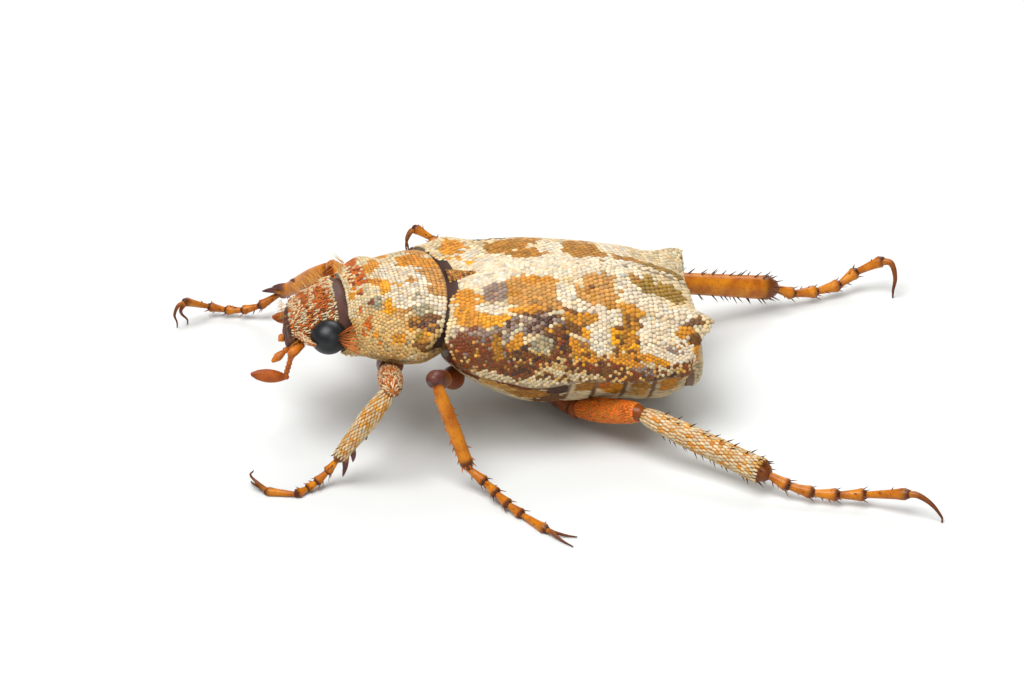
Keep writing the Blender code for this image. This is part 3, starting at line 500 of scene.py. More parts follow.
def withRoundEnds(path, radii, steps):
    first = unit(path[0] - path[1])
    final = unit(path[-1] - path[-2])
    lean = np.linspace(0.0, 0.47 * math.pi, steps + 1)[1:]
    head = [path[0] + first * radii[0] * 0.8 * math.sin(a) for a in lean[::-1]]
    tail = [path[-1] + final * radii[-1] * 0.8 * math.sin(a) for a in lean]
    grown = np.concatenate([head, path, tail])
    sizes = np.concatenate([radii[0] * np.cos(lean[::-1]), radii, radii[-1] * np.cos(lean)])
    return grown, sizes


def closedAcross(rings):
    rings = np.asarray(rings, float)
    return np.concatenate([rings, rings[:, :1]], axis=1)


# Scales, bristles and hairs grow from points on a surface

rowStep = 0.866     # staggered rows lie this share of the pitch apart


def rowPlaces(grid, pitch, stretch=1.0, jitter=0.12, seed=1, inwards=None, band=(0.0, 1.0)):
    # Staggered rows of places over a grid of points; the rows run across the grid. The pitch may change
    # from the first row to the last, and band keeps a part of each row.
    grid = np.asarray(grid, float)
    draw = np.random.default_rng(seed)
    firstPitch, lastPitch = pitch if isinstance(pitch, tuple) else (pitch, pitch)
    alongStep = np.gradient(grid, axis=0)
    acrossStep = np.gradient(grid, axis=1)
    normals = unit(np.cross(alongStep, acrossStep))
    middle = grid.mean(axis=1, keepdims=True) if inwards is None else np.asarray(inwards)
    normals *= np.where(((grid - middle) * normals).sum(-1, keepdims=True) < 0, -1.0, 1.0)
    reach = np.concatenate(([0.0], np.cumsum(np.linalg.norm(np.diff(grid, axis=0), axis=2).mean(axis=1))))
    columns = np.arange(grid.shape[1])
    rows = []
    where, number = 0.3 * firstPitch * stretch, 0
    while where < reach[-1]:
        near = firstPitch + (lastPitch - firstPitch) * where / reach[-1]
        ring = np.interp(where, reach, np.arange(len(reach)))
        low = min(int(ring), grid.shape[0] - 2)
        part = ring - low
        line = grid[low] * (1 - part) + grid[low + 1] * part
        girth = np.concatenate(([0.0], np.cumsum(np.linalg.norm(np.diff(line, axis=0), axis=1))))
        count = max(int(girth[-1] / near), 1)
        spots = (np.arange(count) + 0.25 + 0.5 * (number % 2)) * (girth[-1] / count)
        spots = spots + jitter * near * draw.uniform(-1, 1, count)
        edges = (np.array(band) + 0.006 * draw.uniform(-1, 1, (count, 2))) * girth[-1]
        spots = spots[(spots > 0) & (spots < girth[-1]) & (spots >= edges[:, 0]) & (spots < edges[:, 1])]
        where, number = where + near * rowStep * stretch, number + 1
        if not len(spots):
            continue
        column = np.interp(spots, girth, columns)
        left = np.minimum(column.astype(int), grid.shape[1] - 2)
        share = (column - left)[:, None]

        def pick(table):
            lower = table[low, left] * (1 - share) + table[low, left + 1] * share
            upper = table[low + 1, left] * (1 - share) + table[low + 1, left + 1] * share
            return lower * (1 - part) + upper * part

        root = np.stack([column / columns[-1], np.full(len(spots), ring / (len(reach) - 1))], axis=1)
        rows.append({"point": pick(grid), "normal": pick(normals), "lie": pick(alongStep), "girth": spots,
                     "fromMiddle": spots - 0.5 * girth[-1], "pitch": np.full(len(spots), near), "root": root})
    places = {key: np.concatenate([row[key] for row in rows]) for key in rows[0]}
    places["normal"] = unit(places["normal"])
    shake = jitter * places["pitch"] * draw.uniform(-1, 1, len(places["point"]))
    places["lie"] = unit(places["lie"])
    places["point"] = places["point"] + places["lie"] * shake[:, None] * stretch
    return places


def relaxed(places, rounds=6, gap=0.98, step=0.3):
    # A few rounds in which scales push their neighbours away, along the skin, to about one pitch apart.
    point = places["point"].copy()
    pitch, normal = places["pitch"], places["normal"]
    for _ in range(rounds):
        tree = nearestFinder(point)
        near = np.array([[found[1] for found in tree.find_n(Vector(p), 7)][1:] for p in point])
        away = point[:, None, :] - point[near]
        far = np.linalg.norm(away, axis=2) + 0.000001
        want = 0.5 * gap * (pitch[:, None] + pitch[near])
        push = (away / far[..., None] * np.clip(want - far, 0.0, None)[..., None]).sum(axis=1) * step
        push -= normal * (push * normal).sum(axis=1, keepdims=True)
        point += np.clip(push, -0.2 * pitch[:, None], 0.2 * pitch[:, None])
    return {**places, "point": point}


def chosen(places, keep):
    return {key: values[keep] for key, values in places.items()}


def joinPlaces(several):
    return {key: np.concatenate([places[key] for places in several]) for key in several[0]}


def discShape(name, outline, sides=12, rims=((0.55, 0.86, 0.85), (0.88, 0.45, 0.35), (1.0, -0.35, 0.0))):
    # A domed disc of radius about 1 along X and Y, one high; X points the way the scale lies.
    # Each rim is (size, height, crown); crown falls from 1 on the top to 0 at the edge, where the finish
    # paints shade.
    turns = 2 * math.pi * np.arange(sides) / sides
    points, crown = [(0.0, 0.0, 1.0)], [1.0]
    for size, height, shade in rims:
        for turn in turns:
            along, across = outline(turn)
            points.append((along * size, across * size, height))
            crown.append(shade)
    faces = [(0, 1 + i, 1 + (i + 1) % sides) for i in range(sides)]
    for ring in range(2):
        start = 1 + ring * sides
        faces += [(start + i, start + sides + i, start + sides + (i + 1) % sides, start + (i + 1) % sides)
                  for i in range(sides)]
    return growthShape(name, points, faces, crown)


def spikeShape(name, sides, bend, blunt=0.06, rows=4, waist=0.0):
    # A tapering spike one long along Z, bending towards X.
    points, faces, crown = [], [], []
    for row in range(rows):
        part = row / (rows - 1)
        wide = (1.0 - (1.0 - blunt) * part**(1.3 + waist))
        for i in range(sides):
            turn = 2 * math.pi * i / sides
            points.append((wide * math.cos(turn) + bend * part * part, wide * math.sin(turn), part))
            crown.append(0.3 + 0.7 * part)
    for row in range(rows - 1):
        for i in range(sides):
            a, b = row * sides + i, row * sides + (i + 1) % sides
            faces.append((a, b, b + sides, a + sides))
    faces.append(tuple(range((rows - 1) * sides, rows * sides)))
    return growthShape(name, points, faces, crown)


def growthShape(name, points, faces, crown):
    mesh = bpy.data.meshes.new(name)
    mesh.from_pydata(points, [], faces)
    setAttribute(mesh, "crown", "FLOAT", crown)
    spread = np.array([(p[0], p[1], 0.0) for p in points])
    spread = 0.5 * spread / (np.abs(spread).max() + 1e-9)
    setAttribute(mesh, "patch", "FLOAT_VECTOR", spread)
    mesh.shade_smooth()
    return linkObject(name, mesh)


def roundOutline(turn):
    return math.cos(turn), math.sin(turn)


def leafOutline(turn):
    # Rounded behind, drawn out to a point in front.
    lean = math.cos(turn)
    width = math.sin(turn) * (1.0 - 0.28 * max(lean, 0.0))
    return (lean * (1.18 if lean > 0 else 0.9)), width


def hexOutline(turn):
    # A long six-sided scale with soft corners.
    size = 1.0 + 0.07 * math.cos(6 * turn)
    return math.cos(turn) * size, math.sin(turn) * size


def makeGrowthTree():
    tree = bpy.data.node_groups.new("growOnSkin", "GeometryNodeTree")
    sockets = {}
    for name, kind in (("Geometry", "NodeSocketGeometry"), ("Shape", "NodeSocketObject"),
                       ("Size Spread", "NodeSocketFloat"), ("Seed", "NodeSocketInt"),
                       ("Patch Size", "NodeSocketFloat"), ("Finish", "NodeSocketMaterial")):
        sockets[name] = tree.interface.new_socket(name, in_out="INPUT", socket_type=kind).identifier
    tree.interface.new_socket("Geometry", in_out="OUTPUT", socket_type="NodeSocketGeometry")
    nodes, links = tree.nodes, tree.links
    given = nodes.new("NodeGroupInput")
    result = nodes.new("NodeGroupOutput")

    def named(name):
        node = addNode(nodes, "GeometryNodeInputNamedAttribute", data_type="FLOAT_VECTOR")
        node.inputs["Name"].default_value = name
        return node.outputs[0]

    info = addNode(nodes, "GeometryNodeObjectInfo", transform_space="ORIGINAL")
    links.new(given.outputs["Shape"], info.inputs["Object"])
    turn = addNode(nodes, "FunctionNodeAxesToRotation", primary_axis="Z", secondary_axis="X")
    links.new(named("facing"), turn.inputs[0])
    links.new(named("lie"), turn.inputs[1])
    low = addNode(nodes, "ShaderNodeMath", operation="SUBTRACT")
    high = addNode(nodes, "ShaderNodeMath", operation="ADD")
    for node in (low, high):
        node.inputs[0].default_value = 1.0
        links.new(given.outputs["Size Spread"], node.inputs[1])
    random = addNode(nodes, "FunctionNodeRandomValue", data_type="FLOAT")
    links.new(low.outputs[0], random.inputs[2])
    links.new(high.outputs[0], random.inputs[3])
    links.new(given.outputs["Seed"], random.inputs["Seed"])
    size = addNode(nodes, "ShaderNodeVectorMath", operation="SCALE")
    links.new(named("size"), size.inputs[0])
    links.new(random.outputs[1], size.inputs["Scale"])
    spread = nodes.new("GeometryNodeInstanceOnPoints")
    links.new(given.outputs["Geometry"], spread.inputs["Points"])
    links.new(info.outputs["Geometry"], spread.inputs["Instance"])
    links.new(turn.outputs[0], spread.inputs["Rotation"])
    links.new(size.outputs[0], spread.inputs["Scale"])
    real = nodes.new("GeometryNodeRealizeInstances")
    links.new(spread.outputs[0], real.inputs[0])
    patch = addNode(nodes, "ShaderNodeVectorMath", operation="SCALE")
    links.new(named("patch"), patch.inputs[0])
    links.new(given.outputs["Patch Size"], patch.inputs["Scale"])
    place = addNode(nodes, "ShaderNodeVectorMath", operation="ADD")
    links.new(named("root"), place.inputs[0])
    links.new(patch.outputs[0], place.inputs[1])
    bake = addNode(nodes, "GeometryNodeStoreNamedAttribute", data_type="FLOAT2", domain="CORNER")
    bake.inputs["Name"].default_value = "OFBake"
    links.new(real.outputs[0], bake.inputs["Geometry"])
    links.new(place.outputs[0], bake.inputs["Value"])
    finish = nodes.new("GeometryNodeSetMaterial")
    links.new(bake.outputs[0], finish.inputs["Geometry"])
    links.new(given.outputs["Finish"], finish.inputs["Material"])
    links.new(finish.outputs[0], result.inputs[0])
    return tree, sockets


growthTree, growthSockets = makeGrowthTree()
growthShapes = {
    "round": discShape("roundScale", roundOutline, 12),
    "leaf": discShape("leafScale", leafOutline, 10),
    "hex": discShape("hexScale", hexOutline, 12, ((0.6, 0.92, 0.9), (0.9, 0.55, 0.42), (1.0, -0.5, 0.0))),
    "hair": spikeShape("hair", 3, 0.22, rows=5),
    "bristle": spikeShape("bristle", 5, 0.12, rows=5),
    "spine": spikeShape("spine", 8, 0.1, rows=6, waist=0.5),
}
patchSize = 0.003       # how wide one scale or hair lies in the bake map


def grow(name, shape, places, size, tints, finish, seed, spread=0.1, tilt=0.0, raised=0.0):
    # size is (along, across, high), for all or for each; tilt lifts the free end of what grows.
    count = len(places["point"])
    size = np.broadcast_to(np.asarray(size, float), (count, 3))
    facing = unit(places["normal"] - tilt * places["lie"])
    root = np.column_stack([0.02 + 0.95 * places["root"], np.zeros(count)])
    mesh = bpy.data.meshes.new(name + "Roots")
    mesh.from_pydata([tuple(p) for p in toWorld(places["point"] + raised * places["normal"])], [], [])
    for key, kind, values in (("facing", "FLOAT_VECTOR", facing), ("lie", "FLOAT_VECTOR", places["lie"]),
                              ("size", "FLOAT_VECTOR", size * mm), ("root", "FLOAT_VECTOR", root),
                              ("tint", "FLOAT_COLOR", tints)):
        setAttribute(mesh, key, kind, values)
    coat = linkObject(name, mesh)
    modifier = coat.modifiers.new("grow", "NODES")
    modifier.node_group = growthTree
    for key, value in (("Shape", growthShapes[shape]), ("Size Spread", spread), ("Seed", seed),
                       ("Patch Size", patchSize), ("Finish", finish)):
        modifier[growthSockets[key]] = value
    graph = bpy.context.evaluated_depsgraph_get()
    solid = bpy.data.meshes.new_from_object(coat.evaluated_get(graph), preserve_all_data_layers=True,
                                            depsgraph=graph)
    coat.modifiers.clear()
    coat.data = solid
    for key in ("facing", "lie", "size", "root", "patch"):
        spare = solid.attributes.get(key)
        if spare:
            solid.attributes.remove(spare)
    solid.shade_smooth()
    bpy.data.meshes.remove(mesh)
    finishPiece(coat)


# Curves of the plates, as the solids have them; the seams between the plates are narrower here

plates = {
    "pronotumTop": ((-5.0, 4.88), (-4.6, 4.97), (-4.2, 5.06), (-3.6, 4.93), (-3.0, 4.97), (-2.3, 4.85),
                    (-1.6, 4.66)),
    "pronotumHalfWidth": ((-5.1, 1.76), (-4.4, 2.2), (-3.6, 2.55), (-3.0, 2.7), (-2.4, 2.63), (-1.7, 2.42)),
    "pronotumMargin": ((-5.3, 3.2), (-4.9, 3.26), (-4.4, 3.34), (-3.6, 3.28), (-3.1, 3.32), (-2.6, 3.52),
                       (-1.7, 3.78)),
    "elytraTop": ((-2.0, 4.62), (0.2, 4.78), (2.2, 4.72), (4.0, 4.31), (5.0, 3.86), (5.6, 3.5)),
    "elytraHalfWidth": ((-2.4, 2.86), (-1.0, 3.22), (0.6, 3.42), (2.4, 3.48), (4.0, 3.42), (5.0, 3.02),
                        (5.6, 2.3)),
    "elytraMargin": ((-2.4, 3.38), (-1.0, 2.8), (0.1, 2.5), (1.6, 2.56), (3.6, 2.38), (4.8, 2.42),
                     (5.6, 2.9)),
    "elytraBulge": ((-2.4, 0.5), (-1.2, 0.56), (0.6, 0.74), (2.4, 0.96), (5.6, 1.0)),
    "bellyBottom": ((-2.2, 2.2), (-1.3, 1.62), (-0.6, 1.18), (0.4, 0.78), (1.4, 0.62), (3.0, 0.56),
                    (4.2, 0.54), (5.2, 0.82)),
    "bellyHalfWidth": ((-2.2, 2.35), (-1.0, 2.85), (0.6, 3.16), (2.4, 3.24), (4.0, 3.14), (4.8, 2.82),
                       (5.6, 2.2)),
    "bellyKeel": ((-2.2, 3.0), (0.4, 2.9), (1.4, 2.5), (3.2, 2.6), (4.4, 3.4), (5.2, 3.8)),
    "headTop": ((-6.8, 3.87), (-6.3, 4.3), (-5.8, 4.58), (-5.4, 4.72), (-5.1, 4.68)),
    "headHalfWidth": ((-6.8, 0.92), (-6.5, 1.08), (-6.1, 1.2), (-5.7, 1.34), (-5.1, 1.3)),
    "headBottom": ((-6.8, 3.72), (-6.45, 3.42), (-6.0, 3.14), (-5.6, 3.05), (-5.1, 3.1)),
}
curves = {name: smoothCurve(knots) for name, knots in plates.items()}
coatDepth = 0.03       # the skins lie this far inside the solids


def swollen(x, y, bumps):
    height, reach = np.zeros_like(x), np.zeros_like(x)
    for bumpX, bumpY, radius, tall, back in bumps:
        near = np.exp(-((x - bumpX)**2 + (y - bumpY)**2) / (radius * radius))
        height += tall * near
        reach += back * near
    return height, reach


# Pronotum

pronotum = {
    "front": -4.98, "frontCurve": 0.1, "eyeNotch": 0.16, "back": -1.97, "backCurve": 0.068,
    "hindCorner": 0.4, "bulge": 0.96, "flange": (0.955, 0.36), "sideTuck": 0.22, "sideDrop": 0.32,
    "cornerReach": 0.26, "cornerWidth": 0.35,
    # Each bump is (x, y, radius, height, reach to the back)
    "bumps": ((1.65, -3.85, 0.34, -0.12, 0.0), (2.1, -2.95, 0.36, -0.12, 0.0), (1.3, -4.35, 0.5, 0.07, 0.0),
              (1.3, -2.9, 0.5, 0.05, 0.0), (0.0, -3.7, 0.42, -0.1, 0.0), (2.6, -3.6, 0.3, -0.06, 0.0)),
    "rows": 40, "columns": 72,
    "pitch": (0.1, 0.158), "scaleSize": (0.55, 0.53, 0.24),     # a scale's size is a share of the pitch
    "base": "cream",
}


def pronotumBackEdge(x):
    return pronotum["back"] - pronotum["backCurve"] * x * x


def pronotumRings():
    values = pronotum
    part = np.linspace(0.0, 1.0, values["rows"])[:, None]
    turn = np.linspace(-0.5 * math.pi, 0.5 * math.pi, values["columns"] + 1)[None, :]
    side, lean = np.sin(turn), np.abs(turn)
    spread = np.sin(lean)**values["bulge"]
    front = values["front"] - values["frontCurve"] * spread**2
    front = front + values["eyeNotch"] * np.exp(-((lean / (0.5 * math.pi) - 0.77) / 0.15)**2)
    back = pronotumBackEdge(curves["pronotumHalfWidth"](values["back"]) * spread)
    back = back - values["hindCorner"] * (lean / (0.5 * math.pi))**6
    y = front + (back - front) * part
    edgeRound = 1.0 - 0.07 * np.abs(2 * part - 1.0)**6
    half = curves["pronotumHalfWidth"](y) - coatDepth
    low = curves["pronotumMargin"](y) + values["sideDrop"]
    x = half * spread * np.sign(side) * edgeRound
    z = low + (curves["pronotumTop"](y) - coatDepth - low) * np.cos(lean)**values["bulge"] * edgeRound
    rise, _ = swollen(np.abs(x), y, values["bumps"])
    outer = np.stack([x + rise * side, y, z + rise * np.cos(lean)], axis=2)
    rings = []
    for row, ring in enumerate(outer):
        right, left = ring[0], ring[-1]
        tuck, y0 = values["sideTuck"], left[1]
        corner = y0 - values["cornerReach"] * (1.0 - row / (values["rows"] - 1))**3
        floor = float(curves["pronotumMargin"](corner))
        inside = left[0] - tuck - values["cornerWidth"]
        midway = 0.5 * (y0 + corner)
        under = [(left[0], midway, 0.6 * left[2] + 0.4 * floor),
                 (left[0] - 0.08, midway, 0.25 * left[2] + 0.75 * floor),
                 (left[0] - tuck, corner, floor), (inside, y0, floor), (-inside, y0, floor),
                 (right[0] + tuck, corner, floor),
                 (right[0] + 0.08, midway, 0.25 * right[2] + 0.75 * floor),
                 (right[0], midway, 0.6 * right[2] + 0.4 * floor)]
        rings.append(np.concatenate([ring, under]))
    return np.array(rings)


# Elytra

elytra = {
    "back": 5.48, "backCurve": 0.05, "seam": 0.12, "sutureGap": 0.02, "corner": 0.75, "cornerCut": 5.0,
    "scutellumBase": -1.92, "scutellumTip": -0.97, "scutellumHalfWidth": 0.4, "scutellumGap": 0.06,
    "drawnIn": {"from": 4.9, "over": 0.6, "by": 0.1}, "backRoll": 0.12,
    "bumps": ((2.75, -1.5, 0.55, 0.18, 0.0), (2.0, 5.25, 0.42, 0.3, 0.5), (3.15, 4.7, 0.3, 0.16, 0.08),
              (1.1, 4.3, 0.7, -0.1, 0.0), (1.5, -0.6, 0.9, -0.06, 0.0), (1.9, -0.85, 0.36, -0.1, 0.0),
              (3.1, 1.5, 0.5, -0.11, 0.0), (2.7, 3.2, 0.4, -0.1, 0.0), (1.0, 1.6, 0.5, -0.07, 0.0),
              (3.1, -0.5, 0.4, -0.08, 0.0), (3.4, 4.1, 0.35, -0.08, 0.0)),
    "rows": 70, "columns": 48,
    # The pitch of the scales, and the part of the girth that they cover, from the suture outwards
    "bands": ((0.174, (0.026, 0.54)), (0.146, (0.54, 0.75)), (0.108, (0.75, 0.985))),
    "scaleSize": (0.57, 0.53, 0.2),
    "base": "cream",
}


def elytronFront(x):
    values = elytra
    gap, long = values["scutellumGap"], values["scutellumTip"] - values["scutellumBase"]
    notch = values["scutellumTip"] + gap - long * x / (values["scutellumHalfWidth"] + gap)
    return np.maximum(pronotumBackEdge(x) + values["seam"], notch)


def elytronRings():
    values = elytra
    inner = values["sutureGap"]
    part = np.linspace(0.0, 1.0, values["rows"])[:, None]
    lean = np.linspace(0.0, 0.5 * math.pi, values["columns"] + 1)[None, :]
    frontWidth = curves["elytraHalfWidth"](pronotum["back"])
    frontSpread = np.sin(lean)**curves["elytraBulge"](pronotum["back"])
    front = elytronFront(inner + (frontWidth - inner) * frontSpread)
    front = front + values["cornerCut"] * np.maximum(lean / (0.5 * math.pi) - values["corner"], 0.0)**2
    backSpread = curves["elytraHalfWidth"](values["back"]) * np.sin(lean)
    back = values["back"] - values["backCurve"] * backSpread**2
    y = front + (back - front) * part
    half = curves["elytraHalfWidth"](y) - coatDepth
    low = curves["elytraMargin"](y)
    bulge = curves["elytraBulge"](y)
    x = inner + (half - inner) * np.sin(lean)**bulge
    z = low + (curves["elytraTop"](y) - coatDepth - low) * np.cos(lean)**bulge
    rise, reach = swollen(x, y, values["bumps"])
    outer = np.stack([x + rise * np.sin(lean), y + reach, z + rise * np.cos(lean)], axis=2)
    rings = []
    for ring in outer:
        head, foot = ring[0], ring[-1]
        under = float(curves["elytraMargin"](foot[1])) - 0.02
        rings.append(np.concatenate([ring, [(0.5 * foot[0], 0.5 * (foot[1] + head[1]), min(under, foot[2])),
                                            (head[0], head[1], min(under, head[2] - 0.4))]]))
    return np.array(rings)


def mirrorX(grid):
    return np.asarray(grid) * np.array((-1.0, 1.0, 1.0))


# Putting skins and coats on the plates


def plateSkin(name, rings, outerCount, values, markings, seed, nodes, middle=False):
    # The markings are placed across by the girth, from the suture or, with middle, from the middle.
    steps = np.linalg.norm(np.diff(rings, axis=1), axis=2)
    girth = np.concatenate([np.zeros((len(rings), 1)), np.cumsum(steps, axis=1)], axis=1)
    if middle:
        girth = girth - 0.5 * girth[:, outerCount - 1:outerCount]
    flat = rings.reshape(-1, 3)
    tints = markedColours(flat, girth.ravel(), flat[:, 1], markings, values["base"], seed, 0.15, 0.0)
    makePiece(name, surfaceOf(rings, tints), finishes["shellSkin"], nodes)


def roundedBack(rings, depth, steps=7):
    # the last ring rolls over and in towards its lower inner corner, so that the plate ends in a soft edge
    last = rings[-1]
    low, high = last.min(axis=0), last.max(axis=0)
    centre = np.array((0.8 * low[0] + 0.2 * high[0], last[:, 1].mean(), 0.9 * low[2] + 0.1 * high[2]))
    extra = []
    for lean in np.linspace(0.0, 0.48 * math.pi, steps + 1)[1:]:
        ring = centre + (last - centre) * math.cos(lean)
        ring[:, 1] = last[:, 1] * math.cos(lean) + centre[1] * (1 - math.cos(lean)) + depth * math.sin(lean)
        extra.append(ring)
    return np.concatenate([rings, extra])


pronotum["markings"] = (
    ("sand", 2.2, -4.3, 0.7, 0.9), ("sand", 2.9, -3.6, 0.5, 1.6), ("white", 0.7, -3.1, 1.1, 0.7),
    ("flame", -0.1, -4.62, 0.5, 0.2), ("flame", 0.6, -4.66, 0.34, 0.14), ("flame", 0.3, -4.4, 0.24, 0.1),
    ("ochre", -0.65, -3.97, 0.26, 0.23), ("ochre", -0.3, -4.15, 0.2, 0.12),
    ("white", -0.24, -3.64, 0.41, 0.43), ("yellow", 0.67, -3.81, 0.4, 0.24),
    ("yellow", 0.65, -3.44, 0.14, 0.15), ("yellow", 1.4, -3.89, 0.2, 0.1),
    ("yellow", 1.73, -3.88, 0.22, 0.24), ("ochre", 0.5, -4.13, 0.14, 0.15),
    ("orange", 0.44, -4.04, 0.1, 0.1), ("ochre", 1.84, -4.24, 0.11, 0.11),
    ("bronze", 1.74, -3.39, 0.1, 0.15), ("orange", 1.41, -4.73, 0.08, 0.08),
    ("tan", 1.8, -3.62, 0.2, 0.18), ("orange", 1.9, -4.54, 0.12, 0.14), ("orange", 2.1, -4.62, 0.2, 0.11),
    ("ochre", 2.39, -4.39, 0.14, 0.15), ("orange", 2.73, -4.31, 0.12, 0.1),
    ("ochre", -0.73, -2.64, 0.36, 0.6), ("ochre", -0.5, -3.05, 0.16, 0.3), ("tan", 0.2, -2.3, 0.5, 0.48),
    ("tan", 0.92, -2.34, 0.36, 0.4), ("tan", 0.5, -3.02, 0.2, 0.2), ("white", 1.4, -3.1, 0.3, 0.4),
    # The grey spots beside the dents are partly the scales' own grey and partly painted shade of the dents.
    ("white", 1.6, -2.4, 0.36, 0.37), ("grey", 1.8, -2.91, 0.18, 0.26), ("grey", 1.41, -2.96, 0.2, 0.2),
    ("grey", 1.47, -4.19, 0.21, 0.16), ("bronze", 2.2, -3.24, 0.2, 0.18), ("brown", 2.1, -2.8, 0.12, 0.3),
    ("dusk", 2.42, -2.86, 0.2, 0.25), ("olive", 2.75, -3.12, 0.18, 0.18),
    ("yellow", 2.65, -2.92, 0.11, 0.17), ("ochre", 2.68, -3.81, 0.2, 0.18),
    ("ochre", 2.72, -3.55, 0.16, 0.18), ("gold", 2.84, -3.04, 0.15, 0.25),
    ("ochre", 0.8, -4.85, 0.14, 0.1), ("tan", 2.29, -3.45, 0.16, 0.14),
    ("brown", 3.05, -3.03, 0.18, 0.35), ("rust", 1.41, -4.41, 0.08, 0.08),
    ("grey", 2.9, -3.5, 0.14, 0.16), ("orange", -1.4, -4.6, 0.5, 0.2), ("ochre", -1.7, -3.7, 0.35, 0.3),
    ("tan", -1.6, -2.6, 0.4, 0.3), ("brown", -2.3, -3.1, 0.35, 0.3), ("yellow", -2.5, -2.8, 0.2, 0.2),
    ("orange", -2.3, -4.4, 0.2, 0.2), ("sand", -2.3, -4.2, 0.6, 0.9), ("sand", -2.9, -3.4, 0.5, 1.4),
)


def makePronotum():
    rings = pronotumRings()
    count = pronotum["columns"] + 1
    plateSkin("pronotumSkin", rings, count, pronotum, pronotum["markings"], 3, ("pronotum",), True)
    last, (share, reach) = rings[-1], pronotum["flange"]     # a narrower dark flange fills the seam behind it
    inner = last.mean(axis=0) * (1 - share) + last * share
    inner[:, 1] = last[:, 1]
    # The flange is dark horn tinted darker still, as painted shade in the seam between pronotum and elytra.
    makePiece("pronotumFlange", surfaceOf(np.array([inner - (0.0, 0.1, 0.0), inner + (0.0, reach, 0.0)]),
                                          (0.45, 0.4, 0.35)), finishes["darkHorn"], ("pronotum",))
    wrapped = np.concatenate([rings[:, -3:], rings[:, :count], rings[:, count:count + 3]], axis=1)
    places = relaxed(rowPlaces(wrapped, pronotum["pitch"], 1.0, 0.2, 5, (0.0, -3.3, 3.9)))
    tints = markedColours(places["point"], places["fromMiddle"], places["point"][:, 1], pronotum["markings"],
                          pronotum["base"], 3)
    size = np.outer(places["pitch"], pronotum["scaleSize"])
    grow("pronotumScales", "hex", places, size, varied(tints, 4), finishes["shellScales"],
         6, 0.12, tilt=0.05)


